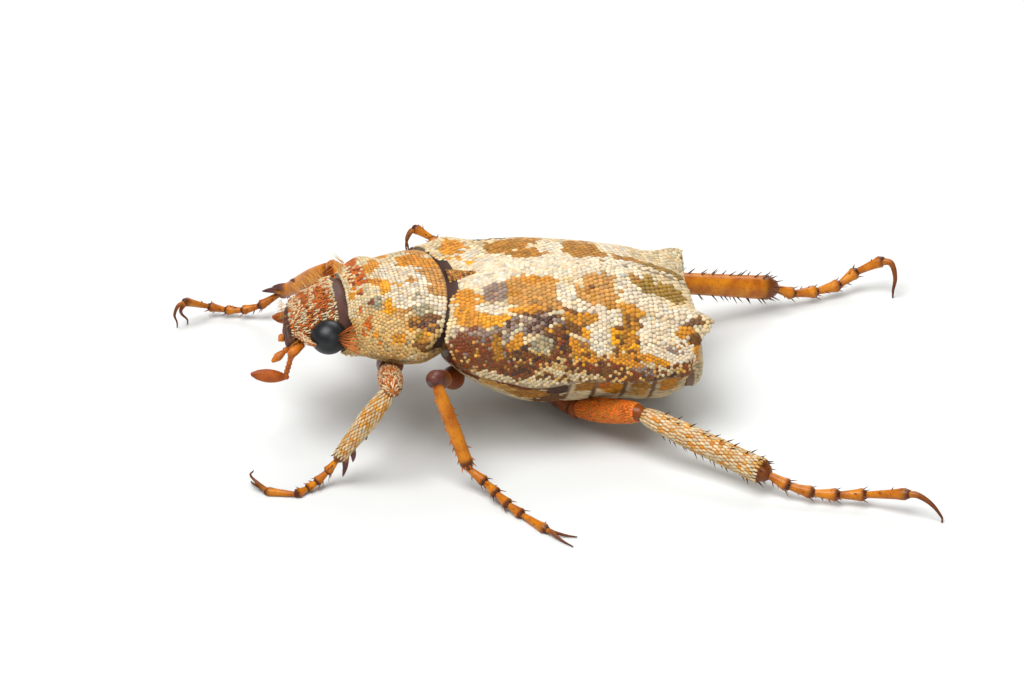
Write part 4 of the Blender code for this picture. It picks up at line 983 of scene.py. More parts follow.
elytra["leftMarkings"] = (
    ("hem", 4.35, 1.4, 0.42, 3.4), ("shoulder", 4.4, -1.4, 0.26, 0.7), ("dusk", 4.5, -0.35, 0.24, 0.55),
    ("cream", 4.6, 1.1, 0.1, 1.0), ("white", 0.5, 1.2, 0.5, 2.6), ("white", 3.0, 4.3, 0.6, 0.9),
    ("ochre", 1.85, -1.48, 0.5, 0.38), ("ochre", 2.8, -1.5, 0.4, 0.5), ("yellow", 2.89, -1.12, 0.3, 0.65),
    ("white", 2.43, -0.96, 0.3, 0.46), ("lilac", 1.63, -0.62, 0.45, 0.4),
    ("white", 0.87, -0.95, 0.5, 0.6), ("white", 1.5, -1.0, 0.2, 0.14), ("tan", 1.71, 0.1, 0.71, 0.45),
    ("tan", 2.0, 0.8, 0.6, 0.44), ("ochre", 1.2, 0.7, 0.16, 0.8), ("gold", 1.7, -0.1, 0.3, 0.25),
    ("ochre", 2.57, 0.08, 0.16, 0.45), ("white", 1.95, 1.43, 0.48, 0.34), ("tan", 1.85, 2.39, 0.5, 0.6),
    ("gold", 1.9, 2.1, 0.3, 0.25), ("tan", 1.06, 2.58, 0.28, 0.43), ("brown", 1.54, 2.32, 0.12, 0.16),
    ("gold", 2.3, 2.7, 0.2, 0.2), ("white", 2.45, 1.87, 0.2, 0.42), ("white", 2.61, 2.6, 0.28, 0.5),
    ("white", 3.4, 2.16, 0.55, 0.3), ("white", 1.5, 3.5, 0.55, 0.34), ("white", 1.79, 3.99, 0.37, 0.45),
    ("white", 2.01, 4.66, 0.34, 0.51), ("olive", 0.85, 4.0, 0.36, 0.42), ("olive", 0.94, 4.7, 0.36, 0.44),
    ("gold", 0.8, 3.7, 0.2, 0.2), ("heather", 3.12, 0.0, 0.32, 0.52), ("heather", 2.95, 0.72, 0.24, 0.4),
    ("heather", 3.3, -0.6, 0.2, 0.3), ("dusk", 3.36, 0.92, 0.24, 0.36), ("dusk", 3.8, 0.98, 0.2, 0.26),
    ("grey", 3.74, 0.39, 0.24, 0.26), ("bronze", 2.95, 1.48, 0.34, 0.36), ("bronze", 2.8, 1.95, 0.2, 0.3),
    ("yellow", 3.27, 1.76, 0.14, 0.16), ("bronze", 3.95, 1.7, 0.36, 0.4), ("ochre", 3.75, 1.5, 0.26, 0.2),
    ("bronze", 2.7, 3.1, 0.3, 0.34), ("bronze", 3.2, 2.98, 0.34, 0.34), ("bronze", 3.7, 2.95, 0.34, 0.34),
    ("yellow", 3.24, 2.72, 0.28, 0.14), ("ochre", 3.95, 2.9, 0.14, 0.4),
    ("shoulder", 3.85, -1.74, 0.5, 0.55), ("rust", 3.72, -1.96, 0.26, 0.2),
    ("lilac", 3.5, -1.5, 0.15, 0.4), ("shoulder", 4.2, -1.3, 0.3, 0.4), ("gold", 4.05, -0.96, 0.5, 0.18),
    ("ochre", 3.76, -0.51, 0.15, 0.26), ("shoulder", 4.1, -0.7, 0.3, 0.2),
    ("dusk", 4.25, -0.3, 0.42, 0.44), ("dusk", 4.2, 0.15, 0.2, 0.2), ("sand", 4.45, 0.72, 0.26, 0.5),
    ("cream", 4.5, 0.6, 0.1, 0.4), ("hem", 4.3, -1.9, 0.24, 0.25), ("rust", 4.35, 1.85, 0.12, 0.45),
    ("rust", 4.2, 2.6, 0.12, 0.4), ("brown", 4.3, 2.2, 0.2, 0.5), ("lilac", 4.14, 3.44, 0.12, 0.33),
    ("ochre", 3.7, 3.78, 0.13, 0.44), ("yellow", 3.66, 3.92, 0.1, 0.3), ("lilac", 3.29, 3.71, 0.12, 0.2),
    ("white", 3.12, 3.73, 0.4, 0.36), ("ochre", 2.67, 4.75, 0.22, 0.3), ("gold", 3.05, 4.6, 0.15, 0.3),
    ("brown", 2.95, 5.1, 0.22, 0.2), ("hem", 3.85, 4.72, 0.22, 0.45), ("lilac", 3.24, 4.4, 0.15, 0.24),
    ("ochre", 3.4, 5.21, 0.3, 0.16), ("brown", 2.36, 5.15, 0.14, 0.3), ("ochre", 3.3, 0.75, 0.08, 0.1),
    ("ochre", 3.5, -0.25, 0.12, 0.14), ("ochre", 3.0, -0.35, 0.08, 0.1), ("tan", 2.5, 1.1, 0.16, 0.14),
    ("ochre", 2.2, 3.3, 0.18, 0.3),
)
elytra["rightMarkings"] = (
    ("white", 0.4, 1.5, 0.4, 3.2), ("white", 1.55, -0.92, 0.8, 0.45), ("hem", 4.35, 1.4, 0.45, 3.4),
    ("ochre", 2.3, -1.36, 0.6, 0.35), ("white", 1.01, -0.44, 0.3, 0.6), ("yellow", 1.1, -1.0, 0.16, 0.24),
    ("gold", 1.89, 0.25, 0.5, 0.68), ("gold", 1.21, 0.75, 0.34, 0.5), ("white", 1.4, 1.45, 0.6, 0.38),
    ("gold", 1.3, 2.36, 0.8, 0.5), ("gold", 0.75, 2.82, 0.4, 0.4), ("white", 1.5, 3.5, 0.7, 0.42),
    ("gold", 0.72, 3.7, 0.24, 0.55), ("olive", 0.55, 4.4, 0.22, 0.42), ("olive", 0.4, 5.02, 0.22, 0.37),
    ("heather", 3.1, 0.0, 0.34, 0.7), ("shoulder", 3.85, -1.6, 0.5, 0.5), ("dusk", 4.1, 0.1, 0.4, 0.5),
    ("dusk", 4.4, -0.3, 0.3, 0.35), ("white", 3.3, 2.2, 0.5, 0.27), ("bronze", 3.4, 3.0, 0.5, 0.45),
    ("bronze", 3.0, 1.5, 0.3, 0.4), ("dusk", 3.5, 0.9, 0.3, 0.35), ("bronze", 4.0, 1.8, 0.3, 0.35),
    ("yellow", 3.2, 2.8, 0.35, 0.2), ("ochre", 4.0, 1.6, 0.27, 0.4), ("white", 2.9, 4.0, 0.4, 0.5),
    ("tan", 2.4, 0.9, 0.3, 0.4), ("ochre", 2.7, 4.8, 0.25, 0.4), ("rust", 4.3, 2.0, 0.15, 0.6),
)


def makeElytra():
    rings = elytronRings()
    drawn = elytra["drawnIn"]
    rings[:, :, 1] -= drawn["by"] * np.clip((rings[:, :, 1] - drawn["from"]) / drawn["over"], 0.0, 1.0)
    rings = roundedBack(rings, elytra["backRoll"])
    count = elytra["columns"] + 1
    for side, seed in (("left", 11), ("right", 31)):
        shape = rings if side == "left" else mirrorX(rings)
        markings = elytra[side + "Markings"]
        plateSkin(f"elytronSkin_{side}", shape, count, elytra, markings, seed, (f"elytron_{side}",))
        middle = (1.6 if side == "left" else -1.6, 1.8, 2.2)
        places = relaxed(joinPlaces([rowPlaces(shape[:, :count], pitch, 1.0, 0.2, seed + 1, middle, band)
                                     for pitch, band in elytra["bands"]]))
        tints = markedColours(places["point"], places["girth"], places["point"][:, 1], markings,
                              elytra["base"], seed)
        grow(f"elytronScales_{side}", "hex", places, np.outer(places["pitch"], elytra["scaleSize"]),
             varied(tints, seed + 2), finishes["shellScales"], seed + 3, 0.12, tilt=0.08)


# Scutellum

scutellum = {"lift": 0.05, "thick": 0.5, "baseGap": 0.06, "rows": 14, "columns": 15,
             "pitch": 0.088, "scaleSize": (0.052, 0.046, 0.03)}


def makeScutellum():
    base, tip, half = elytra["scutellumBase"], elytra["scutellumTip"], elytra["scutellumHalfWidth"]
    top = float(curves["elytraTop"](-1.2)) + scutellum["lift"] - coatDepth
    gap, columns = scutellum["baseGap"], scutellum["columns"]
    rows = []
    for part in np.linspace(0.0, 1.0, scutellum["rows"]):
        y = base + gap + (tip - base - gap) * part
        wide = half * (1.0 - part)**0.85 + 0.01
        across = np.linspace(-1.0, 1.0, columns)
        crest = top + 0.03 * (1 - across**2) - 0.02 * part
        upper = np.stack([wide * across, np.full(columns, y), crest - 0.1 * np.abs(across)**6], axis=1)
        lower = np.array([(wide, y, top - scutellum["thick"]), (-wide, y, top - scutellum["thick"])])
        rows.append(np.concatenate([upper, lower]))
    rings = np.array(rows)
    makePiece("scutellumSkin", surfaceOf(rings, (0.12, 0.05, 0.03)), finishes["shellSkin"],
              ("scutellum",))
    places = rowPlaces(rings[:, :columns], scutellum["pitch"], 1.0, 0.1, 41, (0.0, -1.2, 4.0))
    tints = coloursOf(["shield"] * len(places["point"]), 44)
    grow("scutellumScales", "round", places, scutellum["scaleSize"], varied(tints, 42, 0.22),
         finishes["shellScales"], 43, 0.1, tilt=0.15)


# Underside

belly = {
    "topGap": 0.09, "inset": 0.05, "columns": 64,
    "thorax": (-2.15, 1.22), "abdomen": (1.22, 5.0), "segmentEnds": (2.0, 2.9, 3.8, 4.6, 5.0), "step": 0.05,
    "capShares": (1.0, 0.85, 0.7, 0.55),     # the rings of the abdomen's end face, by size
    "pitch": 0.11, "scaleSize": (0.09, 0.042, 0.022),
    "pygidium": {"span": (4.95, 5.76), "halfWidth": 2.4, "top": 2.62, "bottom": 0.85,
                 "profile": ((0.0, 1.0), (0.3, 0.985), (0.5, 0.93), (0.68, 0.83), (0.82, 0.68), (0.92, 0.49),
                             (0.98, 0.27), (1.0, 0.04)),
                 "scaleSize": (0.078, 0.062, 0.03)},
    "prosternum": {"span": (-4.7, -2.1), "bottom": 2.55},
    "thoraxMarkings": (
        ("rust", 0.2, -1.9, 0.6, 0.5), ("rust", 0.3, -1.2, 0.12, 0.5), ("straw", 0.5, -0.9, 0.2, 0.5),
        ("gold", 0.7, 0.1, 0.3, 0.5), ("rust", 0.2, -0.3, 0.1, 0.5), ("plum", 0.35, 0.95, 0.4, 0.32),
        ("brown", 0.15, 0.6, 0.1, 0.5), ("brown", 1.3, 0.7, 0.5, 0.5),
    ),
    "abdomenMarkings": (
        ("gold", 0.3, 1.7, 0.35, 0.3), ("ochre", 0.5, 2.6, 0.4, 0.3), ("straw", 0.7, 3.4, 0.5, 0.25),
        ("gold", 0.35, 3.4, 0.2, 0.25), ("ochre", 0.5, 4.3, 0.4, 0.3), ("orange", 0.25, 2.3, 0.25, 0.2),
    ),
}


def bellyRing(y, shrink=1.0, step=0.0):
    top = float(curves["elytraMargin"](y)) - belly["topGap"]
    half = float(curves["bellyHalfWidth"](y)) * shrink + step - coatDepth - belly["inset"]
    bottom = float(curves["bellyBottom"](y)) + (1.0 - shrink) * 0.8 - step + coatDepth
    side = np.cos(np.linspace(0.0, math.pi, belly["columns"] + 1))
    lower = np.stack([half * side, np.full(len(side), y),
                      bottom + (top - bottom) * np.abs(side)**float(curves["bellyKeel"](y))], axis=1)
    return np.concatenate([lower, [(-0.5 * half, y, top), (0.5 * half, y, top)]])


def bellyCoat(name, places, markings, seed, base="cream", tilt=0.12):
    # The markings are placed across by how far a scale lies from the nearer side edge.
    edge = np.minimum(places["girth"], 2 * np.abs(places["fromMiddle"]).max() - places["girth"])
    tints = markedColours(places["point"], edge, places["point"][:, 1], markings, base, seed, 0.5, 0.3)
    grow(name, "leaf", places, belly["scaleSize"], varied(tints, seed + 1), finishes["bellyScales"],
         seed + 2, 0.14, tilt=tilt)


def coverBelly(name, grid, markings, seed, base="cream"):
    places = rowPlaces(grid, belly["pitch"], 1.15, 0.16, seed, (0.0, float(grid[..., 1].mean()), 2.6))
    bellyCoat(name, places, markings, seed, base)


def makeThorax():
    start, end = belly["thorax"]
    rings = []
    for part in np.linspace(0.0, 1.0, 18):
        shrink = 1.0 - 0.14 * max(0.0, 1 - part * 7)
        rings.append(bellyRing(start + (end - start) * part, shrink))
    rings = np.array(rings)
    makePiece("thoraxSkin", surfaceOf(rings, (0.3, 0.18, 0.09)), finishes["bellySkin"],
              ("thorax",))
    coverBelly("thoraxScales", rings[:, :belly["columns"] + 1], belly["thoraxMarkings"], 51)


def makeAbdomen():
    begin = belly["abdomen"][0]
    rings, coats = [], []
    for finish in belly["segmentEnds"]:
        segment = []
        for part in np.linspace(0.0, 1.0, 8):
            swell = belly["step"] * (0.25 + 0.75 * part) * (1.0 if part < 1 else 0.55)
            segment.append(bellyRing(begin + (finish - 0.03 - begin) * part, 1.0, swell))
        rings += segment + [bellyRing(finish - 0.015, 0.992)]
        coats.append(rowPlaces(np.array(segment[1:])[:, :belly["columns"] + 1], belly["pitch"], 1.1, 0.14,
                               61 + len(coats), (0.0, 0.5 * (begin + finish), 2.4)))
        begin = finish
    rings = np.array(rings)
    last = rings[-1, :belly["columns"] + 1]
    middle = last.mean(axis=0)
    cap = np.array([last * share + middle * (1 - share) + (0.0, 0.02, 0.0) for share in belly["capShares"]])
    coats.append(rowPlaces(cap, belly["pitch"], 1.1, 0.14, 70, (0.0, begin - 1.0, 1.7)))
    makePiece("abdomenSkin", surfaceOf(rings, (0.34, 0.2, 0.1)), finishes["bellySkin"],
              ("abdomen",))
    bellyCoat("abdomenScales", joinPlaces(coats), belly["abdomenMarkings"], 66, tilt=0.1)


def makePygidium():
    values = belly["pygidium"]
    start, end = values["span"]
    turns = np.linspace(0.0, 2 * math.pi, 49)[:-1]
    rings = []
    for part, size in values["profile"]:
        top, bottom = values["top"] - 0.4 * part, values["bottom"] + (1.0 - size) * 1.1
        middle = 0.5 * (top + bottom)
        rings.append(np.stack([(values["halfWidth"] * size - coatDepth) * np.cos(turns),
                               np.full(len(turns), start + (end - start - coatDepth) * part),
                               middle - 0.5 * (top - bottom) * np.sin(turns)], axis=1))
    rings = np.array(rings)
    makePiece("pygidiumSkin", surfaceOf(rings, (0.34, 0.2, 0.1)), finishes["bellySkin"],
              ("pygidium",))
    places = rowPlaces(closedAcross(rings[1:]), belly["pitch"], 1.0, 0.14, 71, (0.0, 5.0, 1.7))
    places["lie"] = unit(places["lie"] - np.array((0.0, 0.0, 0.6)))
    tints = markedColours(places["point"], places["girth"], places["point"][:, 1], (), "cream", 72)
    grow("pygidiumScales", "leaf", places, values["scaleSize"], varied(tints, 73), finishes["bellyScales"],
         74, 0.12, tilt=0.12)


def makeProsternum():
    values = belly["prosternum"]
    start, end = values["span"]
    rings = []
    for part in np.linspace(0.0, 1.0, 14):
        y = start + (end - start) * part
        top = float(curves["pronotumMargin"](y)) + 0.02
        half = (float(curves["pronotumHalfWidth"](y)) - 0.36) * (1.0 - 0.25 * abs(2 * part - 1)**3)
        turns = np.linspace(0.0, math.pi, 41)
        rings.append(np.stack([half * np.cos(turns), np.full(41, y),
                               top - (top - values["bottom"] - coatDepth) * np.sin(turns)], axis=1))
    rings = np.array(rings)
    makePiece("prosternumSkin", surfaceOf(rings, (0.3, 0.18, 0.09)), finishes["bellySkin"],
              ("prosternum",))
    coverBelly("prosternumScales", rings, (), 81, "sand")


# Head

head = {
    "front": -6.62, "back": -4.84, "turn": 0.2, "curve": 0.14, "turnsFrom": -5.17, "turnsTo": -6.62,
    "coatEnds": -5.31, "coatSlope": 0.05, "coatBottom": 3.4, "coatLift": 0.012, "pitch": 0.076,
    "scaleSize": (0.06, 0.03, 0.028),
    "markings": (
        ("ember", 0.6, -5.7, 0.3, 0.16), ("ember", 0.1, -5.75, 0.3, 0.12), ("ember", 0.8, -6.1, 0.2, 0.1),
        ("ember", 0.1, -6.15, 0.2, 0.12), ("ember", -0.9, -5.8, 0.35, 0.2),
        ("ember", -0.5, -6.2, 0.3, 0.12),
    ),
}


def headPlace(x, y):    # where a point of the head lies, along the beetle, once the head is turned
    share = np.clip((head["turnsFrom"] - y) / (head["turnsFrom"] - head["turnsTo"]), 0.0, 1.0)
    return y + share * (head["curve"] * x * x - head["turn"] * x)


def headRing(y, columns=72):
    top = float(curves["headTop"](y)) - coatDepth
    bottom = float(curves["headBottom"](y)) + coatDepth
    half = float(curves["headHalfWidth"](y)) - coatDepth
    middle = bottom + 0.45 * (top - bottom)
    turns = np.linspace(-0.5 * math.pi, 1.5 * math.pi, columns + 1)[:-1]
    side, rise = np.cos(turns), np.sin(turns)
    reach = np.where(rise > 0, top - middle, middle - bottom)
    x = half * np.sign(side) * np.abs(side)**0.95
    return np.stack([x, headPlace(x, y), middle + reach * np.sign(rise) * np.abs(rise)**0.9], axis=1)


def makeHead():
    rings = np.array([headRing(y) for y in np.linspace(head["front"], head["back"], 30)])
    makePiece("headSkin", surfaceOf(rings, (0.86, 0.8, 0.8)), finishes["darkHorn"], ("head",))
    places = rowPlaces(closedAcross(rings), head["pitch"], 1.1, 0.24, 91, (0.0, -5.8, 3.9))
    point = places["point"]
    edge = head["coatEnds"] - head["coatSlope"] * point[:, 0]
    places = chosen(places, (point[:, 1] < edge) & (point[:, 2] > head["coatBottom"]))
    draw = np.random.default_rng(7)
    places["lie"] = unit(-places["lie"] + (0.35, 0.0, 0.0) * np.sign(places["point"][:, :1])
                         + 0.28 * draw.standard_normal(places["lie"].shape))
    lie, normal = places["lie"], places["normal"]
    places["lie"] = unit(lie - normal * (lie * normal).sum(-1, keepdims=True))
    tints = markedColours(places["point"], places["point"][:, 0], places["point"][:, 1], head["markings"],
                          "face", 92, 0.3, 0.3)
    rim = places["point"][:, 1] > head["coatEnds"] - head["coatSlope"] * places["point"][:, 0] - 0.06
    tints[rim] = pigmentTable[pigmentNames.index("cream")]
    cream = (tints[:, 1:2] > 0.3).astype(float)
    size = np.asarray(head["scaleSize"]) * (1.0 + (0.06, 0.0, 0.3) * cream)
    grow("faceScales", "leaf", places, size, varied(tints, 93, 0.12), finishes["faceScales"], 94,
         0.14, tilt=0.26, raised=head["coatLift"])


clypeus = {"start": -6.57, "length": 0.25, "rings": 12, "columns": 56, "halfWidth": 1.02, "thick": 0.43}


def makeClypeus():
    rings = []
    for part in np.linspace(0.0, 1.0, clypeus["rings"]):
        lip = math.exp(-((part - 0.85) / 0.16)**2)
        end = 0.05 if part == 1.0 else 0.0
        y = clypeus["start"] - clypeus["length"] * part
        half = clypeus["halfWidth"] - 0.1 * part**2 + 0.04 * lip - end
        top = float(curves["headTop"](y)) + 0.05 * lip - end
        bottom = float(curves["headTop"](y)) - clypeus["thick"] + 2 * end
        turns = np.linspace(0.0, 2 * math.pi, clypeus["columns"] + 1)[:-1]
        side, rise = np.cos(turns), np.sin(turns)
        x = half * np.sign(side) * np.abs(side)**0.7
        bow = np.sign(rise) * np.abs(rise)**0.7
        z = 0.5 * (top + bottom) + 0.5 * (top - bottom) * bow - 0.32 * (x / half)**2
        rings.append(np.stack([x, headPlace(x, y), z], axis=1))
    makePiece("clypeusRim", surfaceOf(np.array(rings), (0.85, 0.75, 0.72)), finishes["darkHorn"],
              ("clypeus",))


eye = {"centres": {"left": (1.36, -5.67, 3.76), "right": (-1.3, -5.62, 3.5)}, "radius": 0.52,
       "length": 1.05, "rows": 48, "columns": 64}


def makeEyes():
    lean, turn = np.meshgrid(np.linspace(0.03, math.pi - 0.03, eye["rows"]),
                             np.linspace(0.0, 2 * math.pi, eye["columns"] + 1)[:-1], indexing="ij")
    ball = np.stack([np.sin(lean) * np.cos(turn), np.sin(lean) * np.sin(turn), -np.cos(lean)], axis=2)
    for name, centre in eye["centres"].items():
        rings = centre + eye["radius"] * ball * (1.0, eye["length"], 1.0)
        makePiece(f"eyeball_{name}", surfaceOf(rings), finishes["eye"], (f"eye_{name}",))


# Feelers and mouth

feelers = {
    "left": ((1.12, -6.42, 3.42), (1.28, -6.76, 3.3), (1.37, -6.99, 2.54), (1.4, -7.98, 2.76)),
    "right": ((-1.12, -6.42, 3.42), (-1.5, -6.4, 3.12), (-1.72, -6.0, 2.72), (-1.42, -6.88, 3.0)),
    "thick": 0.1, "club": 0.19, "beads": 6,
}


def between(start, end, part):
    return np.asarray(start, float) + (np.asarray(end, float) - np.asarray(start, float)) * part


def steepUp(start, end):
    along = unit(np.asarray(end, float) - np.asarray(start, float))
    return (0.0, 0.0, 1.0) if abs(along[2]) < 0.9 else (0.0, 1.0, 0.0)


endRings = 3     # this many rings round off each end of a limb, tooth or claw


def limbGrid(start, end, radii, sides, rings):
    # radii are (place, radius) pairs along the limb, from 0 to 1
    parts = np.linspace(0.0, 1.0, rings)
    path = np.array([between(start, end, part) for part in parts])
    return tubeRings(path, smoothCurve(radii)(parts), sides, 1.0, steepUp(start, end), endRings)


def limbSurface(start, end, radii, tint=(1.0, 1.0, 1.0), rings=12):
    return surfaceOf(limbGrid(start, end, radii, 16, rings), tint)


def makeFeeler(side):
    start, elbow, foot, tip = (np.array(p) for p in feelers[side])
    thick = feelers["thick"]
    parts = [limbSurface(start, between(start, elbow, 1.12),
                         ((0.0, thick * 0.8), (0.3, thick * 1.15), (0.8, thick * 1.5), (1.0, thick * 1.1)))]
    for bead in range(feelers["beads"]):
        first = between(elbow, foot, bead / feelers["beads"])
        second = between(elbow, foot, (bead + 0.92) / feelers["beads"])
        wide = thick * (1.25 if bead == 0 else 0.88)
        parts.append(limbSurface(first, second, ((0.0, wide * 0.72), (0.6, wide), (1.0, wide * 0.85)),
                                 (0.9, 0.85, 0.8), rings=6))
    for leaf in (-1, 0, 1):
        path = np.array([between(foot, tip, t) for t in (-0.06, 0.12, 0.4, 0.75, 1.0)])
        path[:, 0] += 0.095 * leaf * np.array((0.2, 0.5, 1.0, 1.0, 0.8))
        path[:, 2] += 0.02 * leaf
        path = smoothPath(path, 16)
        shape = smoothCurve(((0.0, 0.35), (0.2, 0.8), (0.55, 1.0), (0.85, 0.72), (1.0, 0.3)))
        grid = tubeRings(path, feelers["club"] * shape(np.linspace(0, 1, 16)), 16, 1.0, (1.0, 0.0, 0.05),
                         endRings)
        centre = np.repeat(grid.mean(axis=1, keepdims=True), grid.shape[1], axis=1)
        flat = grid - centre
        flat[..., 0] *= 0.36
        parts.append(surfaceOf(centre + flat, (0.8, 0.62, 0.5)))
    makePiece(f"feeler_{side}", joinSurfaces(parts), finishes["rustHorn"], (f"antenna_{side}",))


mouth = {
    "palps": (((0.36, -6.58, 3.06), (0.5, -7.22, 2.62)), ((-0.36, -6.58, 3.06), (-0.5, -6.86, 2.74))),
    "palpJoints": ((0.0, 0.26, 0.09), (0.27, 0.5, 0.1), (0.52, 1.0, 0.13)),     # from, to, thickness
    "lip": ((-6.3, 3.12, 0.7), (-6.42, 3.12, 0.95), (-6.62, 3.14, 1.0), (-6.76, 3.18, 0.85),
            (-6.82, 3.2, 0.4)),     # y, z, size
    "lipHalfWidth": 0.55, "lipHalfHeight": 0.17, "columns": 32,
}


def makeMouth():
    turns = np.linspace(0.0, 2 * math.pi, mouth["columns"] + 1)[:-1]
    lip = []
    for y, z, size in mouth["lip"]:
        lip.append(np.stack([mouth["lipHalfWidth"] * size * np.cos(turns), np.full(len(turns), y),
                             z + mouth["lipHalfHeight"] * size * np.sin(turns)], axis=1))
    parts = [surfaceOf(np.array(lip), (0.7, 0.5, 0.45))]
    for root, tip in mouth["palps"]:
        for first, last, wide in mouth["palpJoints"]:
            parts.append(limbSurface(between(root, tip, first), between(root, tip, last),
                                     ((0.0, wide * 0.7), (0.5, wide), (1.0, wide * 0.45))))
    makePiece("mouthPalps", joinSurfaces(parts), finishes["rustHorn"], ("mouthparts",))


makePronotum()
makeElytra()
makeScutellum()
print("shell ready")
makeThorax()
makeAbdomen()
makePygidium()
makeProsternum()
print("underside ready")
makeHead()
makeClypeus()
makeEyes()
for side in ("left", "right"):
    makeFeeler(side)
makeMouth()
print("head ready")


# Legs: joints from root to claws, as the solids have them; the tips of the claws lie up to 0.02 higher

legs = {
    "front_left": {
        "coxa": (0.62, -3.7, 2.28), "hip": (1.3, -3.88, 2.46), "knee": (3.75, -4.22, 3.2),
        "ankle": (3.58, -5.86, 0.84),
        "foot": ((3.56, -6.13, 0.48), (3.73, -6.49, 0.26), (3.85, -6.78, 0.15), (4.03, -7.14, 0.1),
                 (3.7, -8.0, 0.1)),
        "claws": (((3.45, -8.2, 0.16), (3.17, -8.32, 0.12), (3.02, -8.33, 0.08)),
                  ((3.55, -8.22, 0.34), (3.28, -8.38, 0.46), (3.1, -8.26, 0.48))),
    },
    "front_right": {
        "coxa": (-0.62, -3.7, 2.28), "hip": (-1.3, -3.88, 2.46), "knee": (-4.1, -4.64, 3.0),
        "ankle": (-6.42, -5.92, 0.92),
        "foot": ((-6.52, -6.55, 0.5), (-6.71, -7.05, 0.3), (-6.91, -7.54, 0.25), (-6.99, -8.05, 0.38),
                 (-6.55, -8.88, 0.9)),
        "claws": (((-6.42, -9.08, 0.84), (-6.46, -9.2, 0.5), (-6.52, -9.12, 0.2), (-6.52, -9.12, 0.02)),
                  ((-6.56, -8.98, 0.62), (-6.66, -8.95, 0.4), (-6.66, -8.78, 0.18), (-6.66, -8.78, 0.02))),
    },
    "middle_left": {
        "coxa": (1.0, -1.8, 1.76), "hip": (1.6, -2.18, 2.06), "knee": (3.85, -2.96, 3.44),
        "ankle": (4.56, -2.08, 0.7),
        "foot": ((5.01, -1.68, 0.47), (5.54, -1.43, 0.36), (6.01, -1.18, 0.24), (6.44, -0.86, 0.11),
                 (7.42, -0.31, 0.11)),
        "claws": (((7.62, -0.14, 0.14), (7.75, 0.2, 0.07), (7.84, 0.5, 0.04)),
                  ((7.68, -0.18, 0.14), (8.0, 0.02, 0.07), (8.34, 0.28, 0.04))),
    },
    "middle_right": {
        "coxa": (-1.1, -1.5, 1.62), "hip": (-1.65, -1.7, 1.98), "knee": (-4.4, -2.1, 3.05),
        "ankle": (-7.05, -1.05, 1.02),
        "foot": ((-7.65, -0.8, 0.72), (-8.25, -0.6, 0.58), (-8.8, -0.5, 0.52), (-9.36, -0.6, 0.68),
                 (-9.64, -1.14, 0.98)),
        "claws": (((-9.7, -1.26, 0.85), (-9.8, -1.37, 0.5), (-9.84, -1.31, 0.2), (-9.84, -1.31, 0.02)),
                  ((-9.5, -1.28, 0.9), (-9.38, -1.45, 0.6), (-9.28, -1.46, 0.35))),
    },
    "hind_left": {
        "coxa": (0.7, 1.35, 0.88), "hip": (1.75, 1.62, 0.72), "knee": (3.66, 3.22, 1.5),
        "ankle": (6.5, 6.46, 0.7),
        "foot": ((6.91, 7.02, 0.46), (7.27, 7.67, 0.36), (7.49, 8.38, 0.34), (7.72, 9.13, 0.4),
                 (8.47, 10.28, 0.74)),
        "claws": (((8.62, 10.48, 0.76), (8.86, 10.85, 0.55), (9.04, 11.13, 0.16), (9.04, 11.13, 0.02)),),
    },
    "hind_right": {
        "coxa": (-0.7, 1.35, 0.92), "hip": (-1.75, 1.66, 0.98), "knee": (-3.12, 4.55, 2.08),
        "ankle": (-4.12, 9.12, 0.78),
        "foot": ((-4.2, 9.76, 0.46), (-4.4, 10.54, 0.34), (-4.57, 11.31, 0.4), (-4.75, 11.89, 0.7),
                 (-4.58, 12.7, 1.12)),
        "claws": (((-4.4, 12.9, 1.1), (-4.2, 13.0, 0.7), (-4.14, 12.93, 0.25), (-4.14, 12.93, 0.02)),),
    },
}
legSizes = {
    "front": {"coxa": 0.42, "femur": 0.36, "kneeEnd": 0.8, "shin": 0.285, "shinEnd": 0.2, "foot": 0.135,
              "claw": 0.08, "spines": 5, "spineLength": 0.14, "crown": 3, "crownLength": 0.16, "spurs": 3},
    "middle": {"coxa": 0.37, "femur": 0.29, "kneeEnd": 0.95, "shin": 0.205, "shinEnd": 0.2, "foot": 0.155,
               "claw": 0.08, "spines": 7, "spineLength": 0.17, "crown": 7, "crownLength": 0.2, "spurs": 5},
    "hind": {"coxa": 0.45, "femur": 0.36, "kneeEnd": 0.8, "shin": 0.33, "shinEnd": 0.37, "foot": 0.175,
             "claw": 0.12, "spines": 9, "spineLength": 0.34, "crown": 12, "crownLength": 0.36, "spurs": 6},
}
# The scales of the upper leg and of the shin are (kind, pitch, half sizes, shape); None is bare horn

legLooks = {
    "front_left": {"upper": ("arm", 0.078, (0.075, 0.026, 0.02), "leaf"),
                   "shin": ("shank", 0.096, (0.078, 0.036, 0.024), "hex"),
                   "thigh": "plain", "knee": "plain", "spines": "bark"},
    "front_right": {"upper": None, "shin": None, "thigh": "plain", "knee": "plain", "spines": "bark"},
    "middle_left": {"upper": None, "shin": None, "thigh": "dark", "knee": "plum", "spines": "amber"},
    "middle_right": {"upper": None, "shin": None, "thigh": "dark", "knee": "plum", "spines": "amber"},
    "hind_left": {"upper": ("thigh", 0.078, (0.05, 0.04, 0.022), "round"),
                  "shin": ("shank", 0.108, (0.09, 0.043, 0.024), "hex"),
                  "thigh": "plain", "knee": "dark", "spines": "bark"},
    "hind_right": {"upper": ("thigh", 0.078, (0.05, 0.04, 0.022), "round"), "shin": None,
                   "thigh": "plain", "knee": "dark", "spines": "bark"},
}
teeth = {"places": ((0.6, 0.05, 0.08, 0.11), (0.86, 0.14, 0.22, 0.15), (0.98, 0.17, 0.48, 0.14)),
         "front_left": (0.1, 0.62, -0.62), "front_right": (0.02, -0.86, 0.5)}
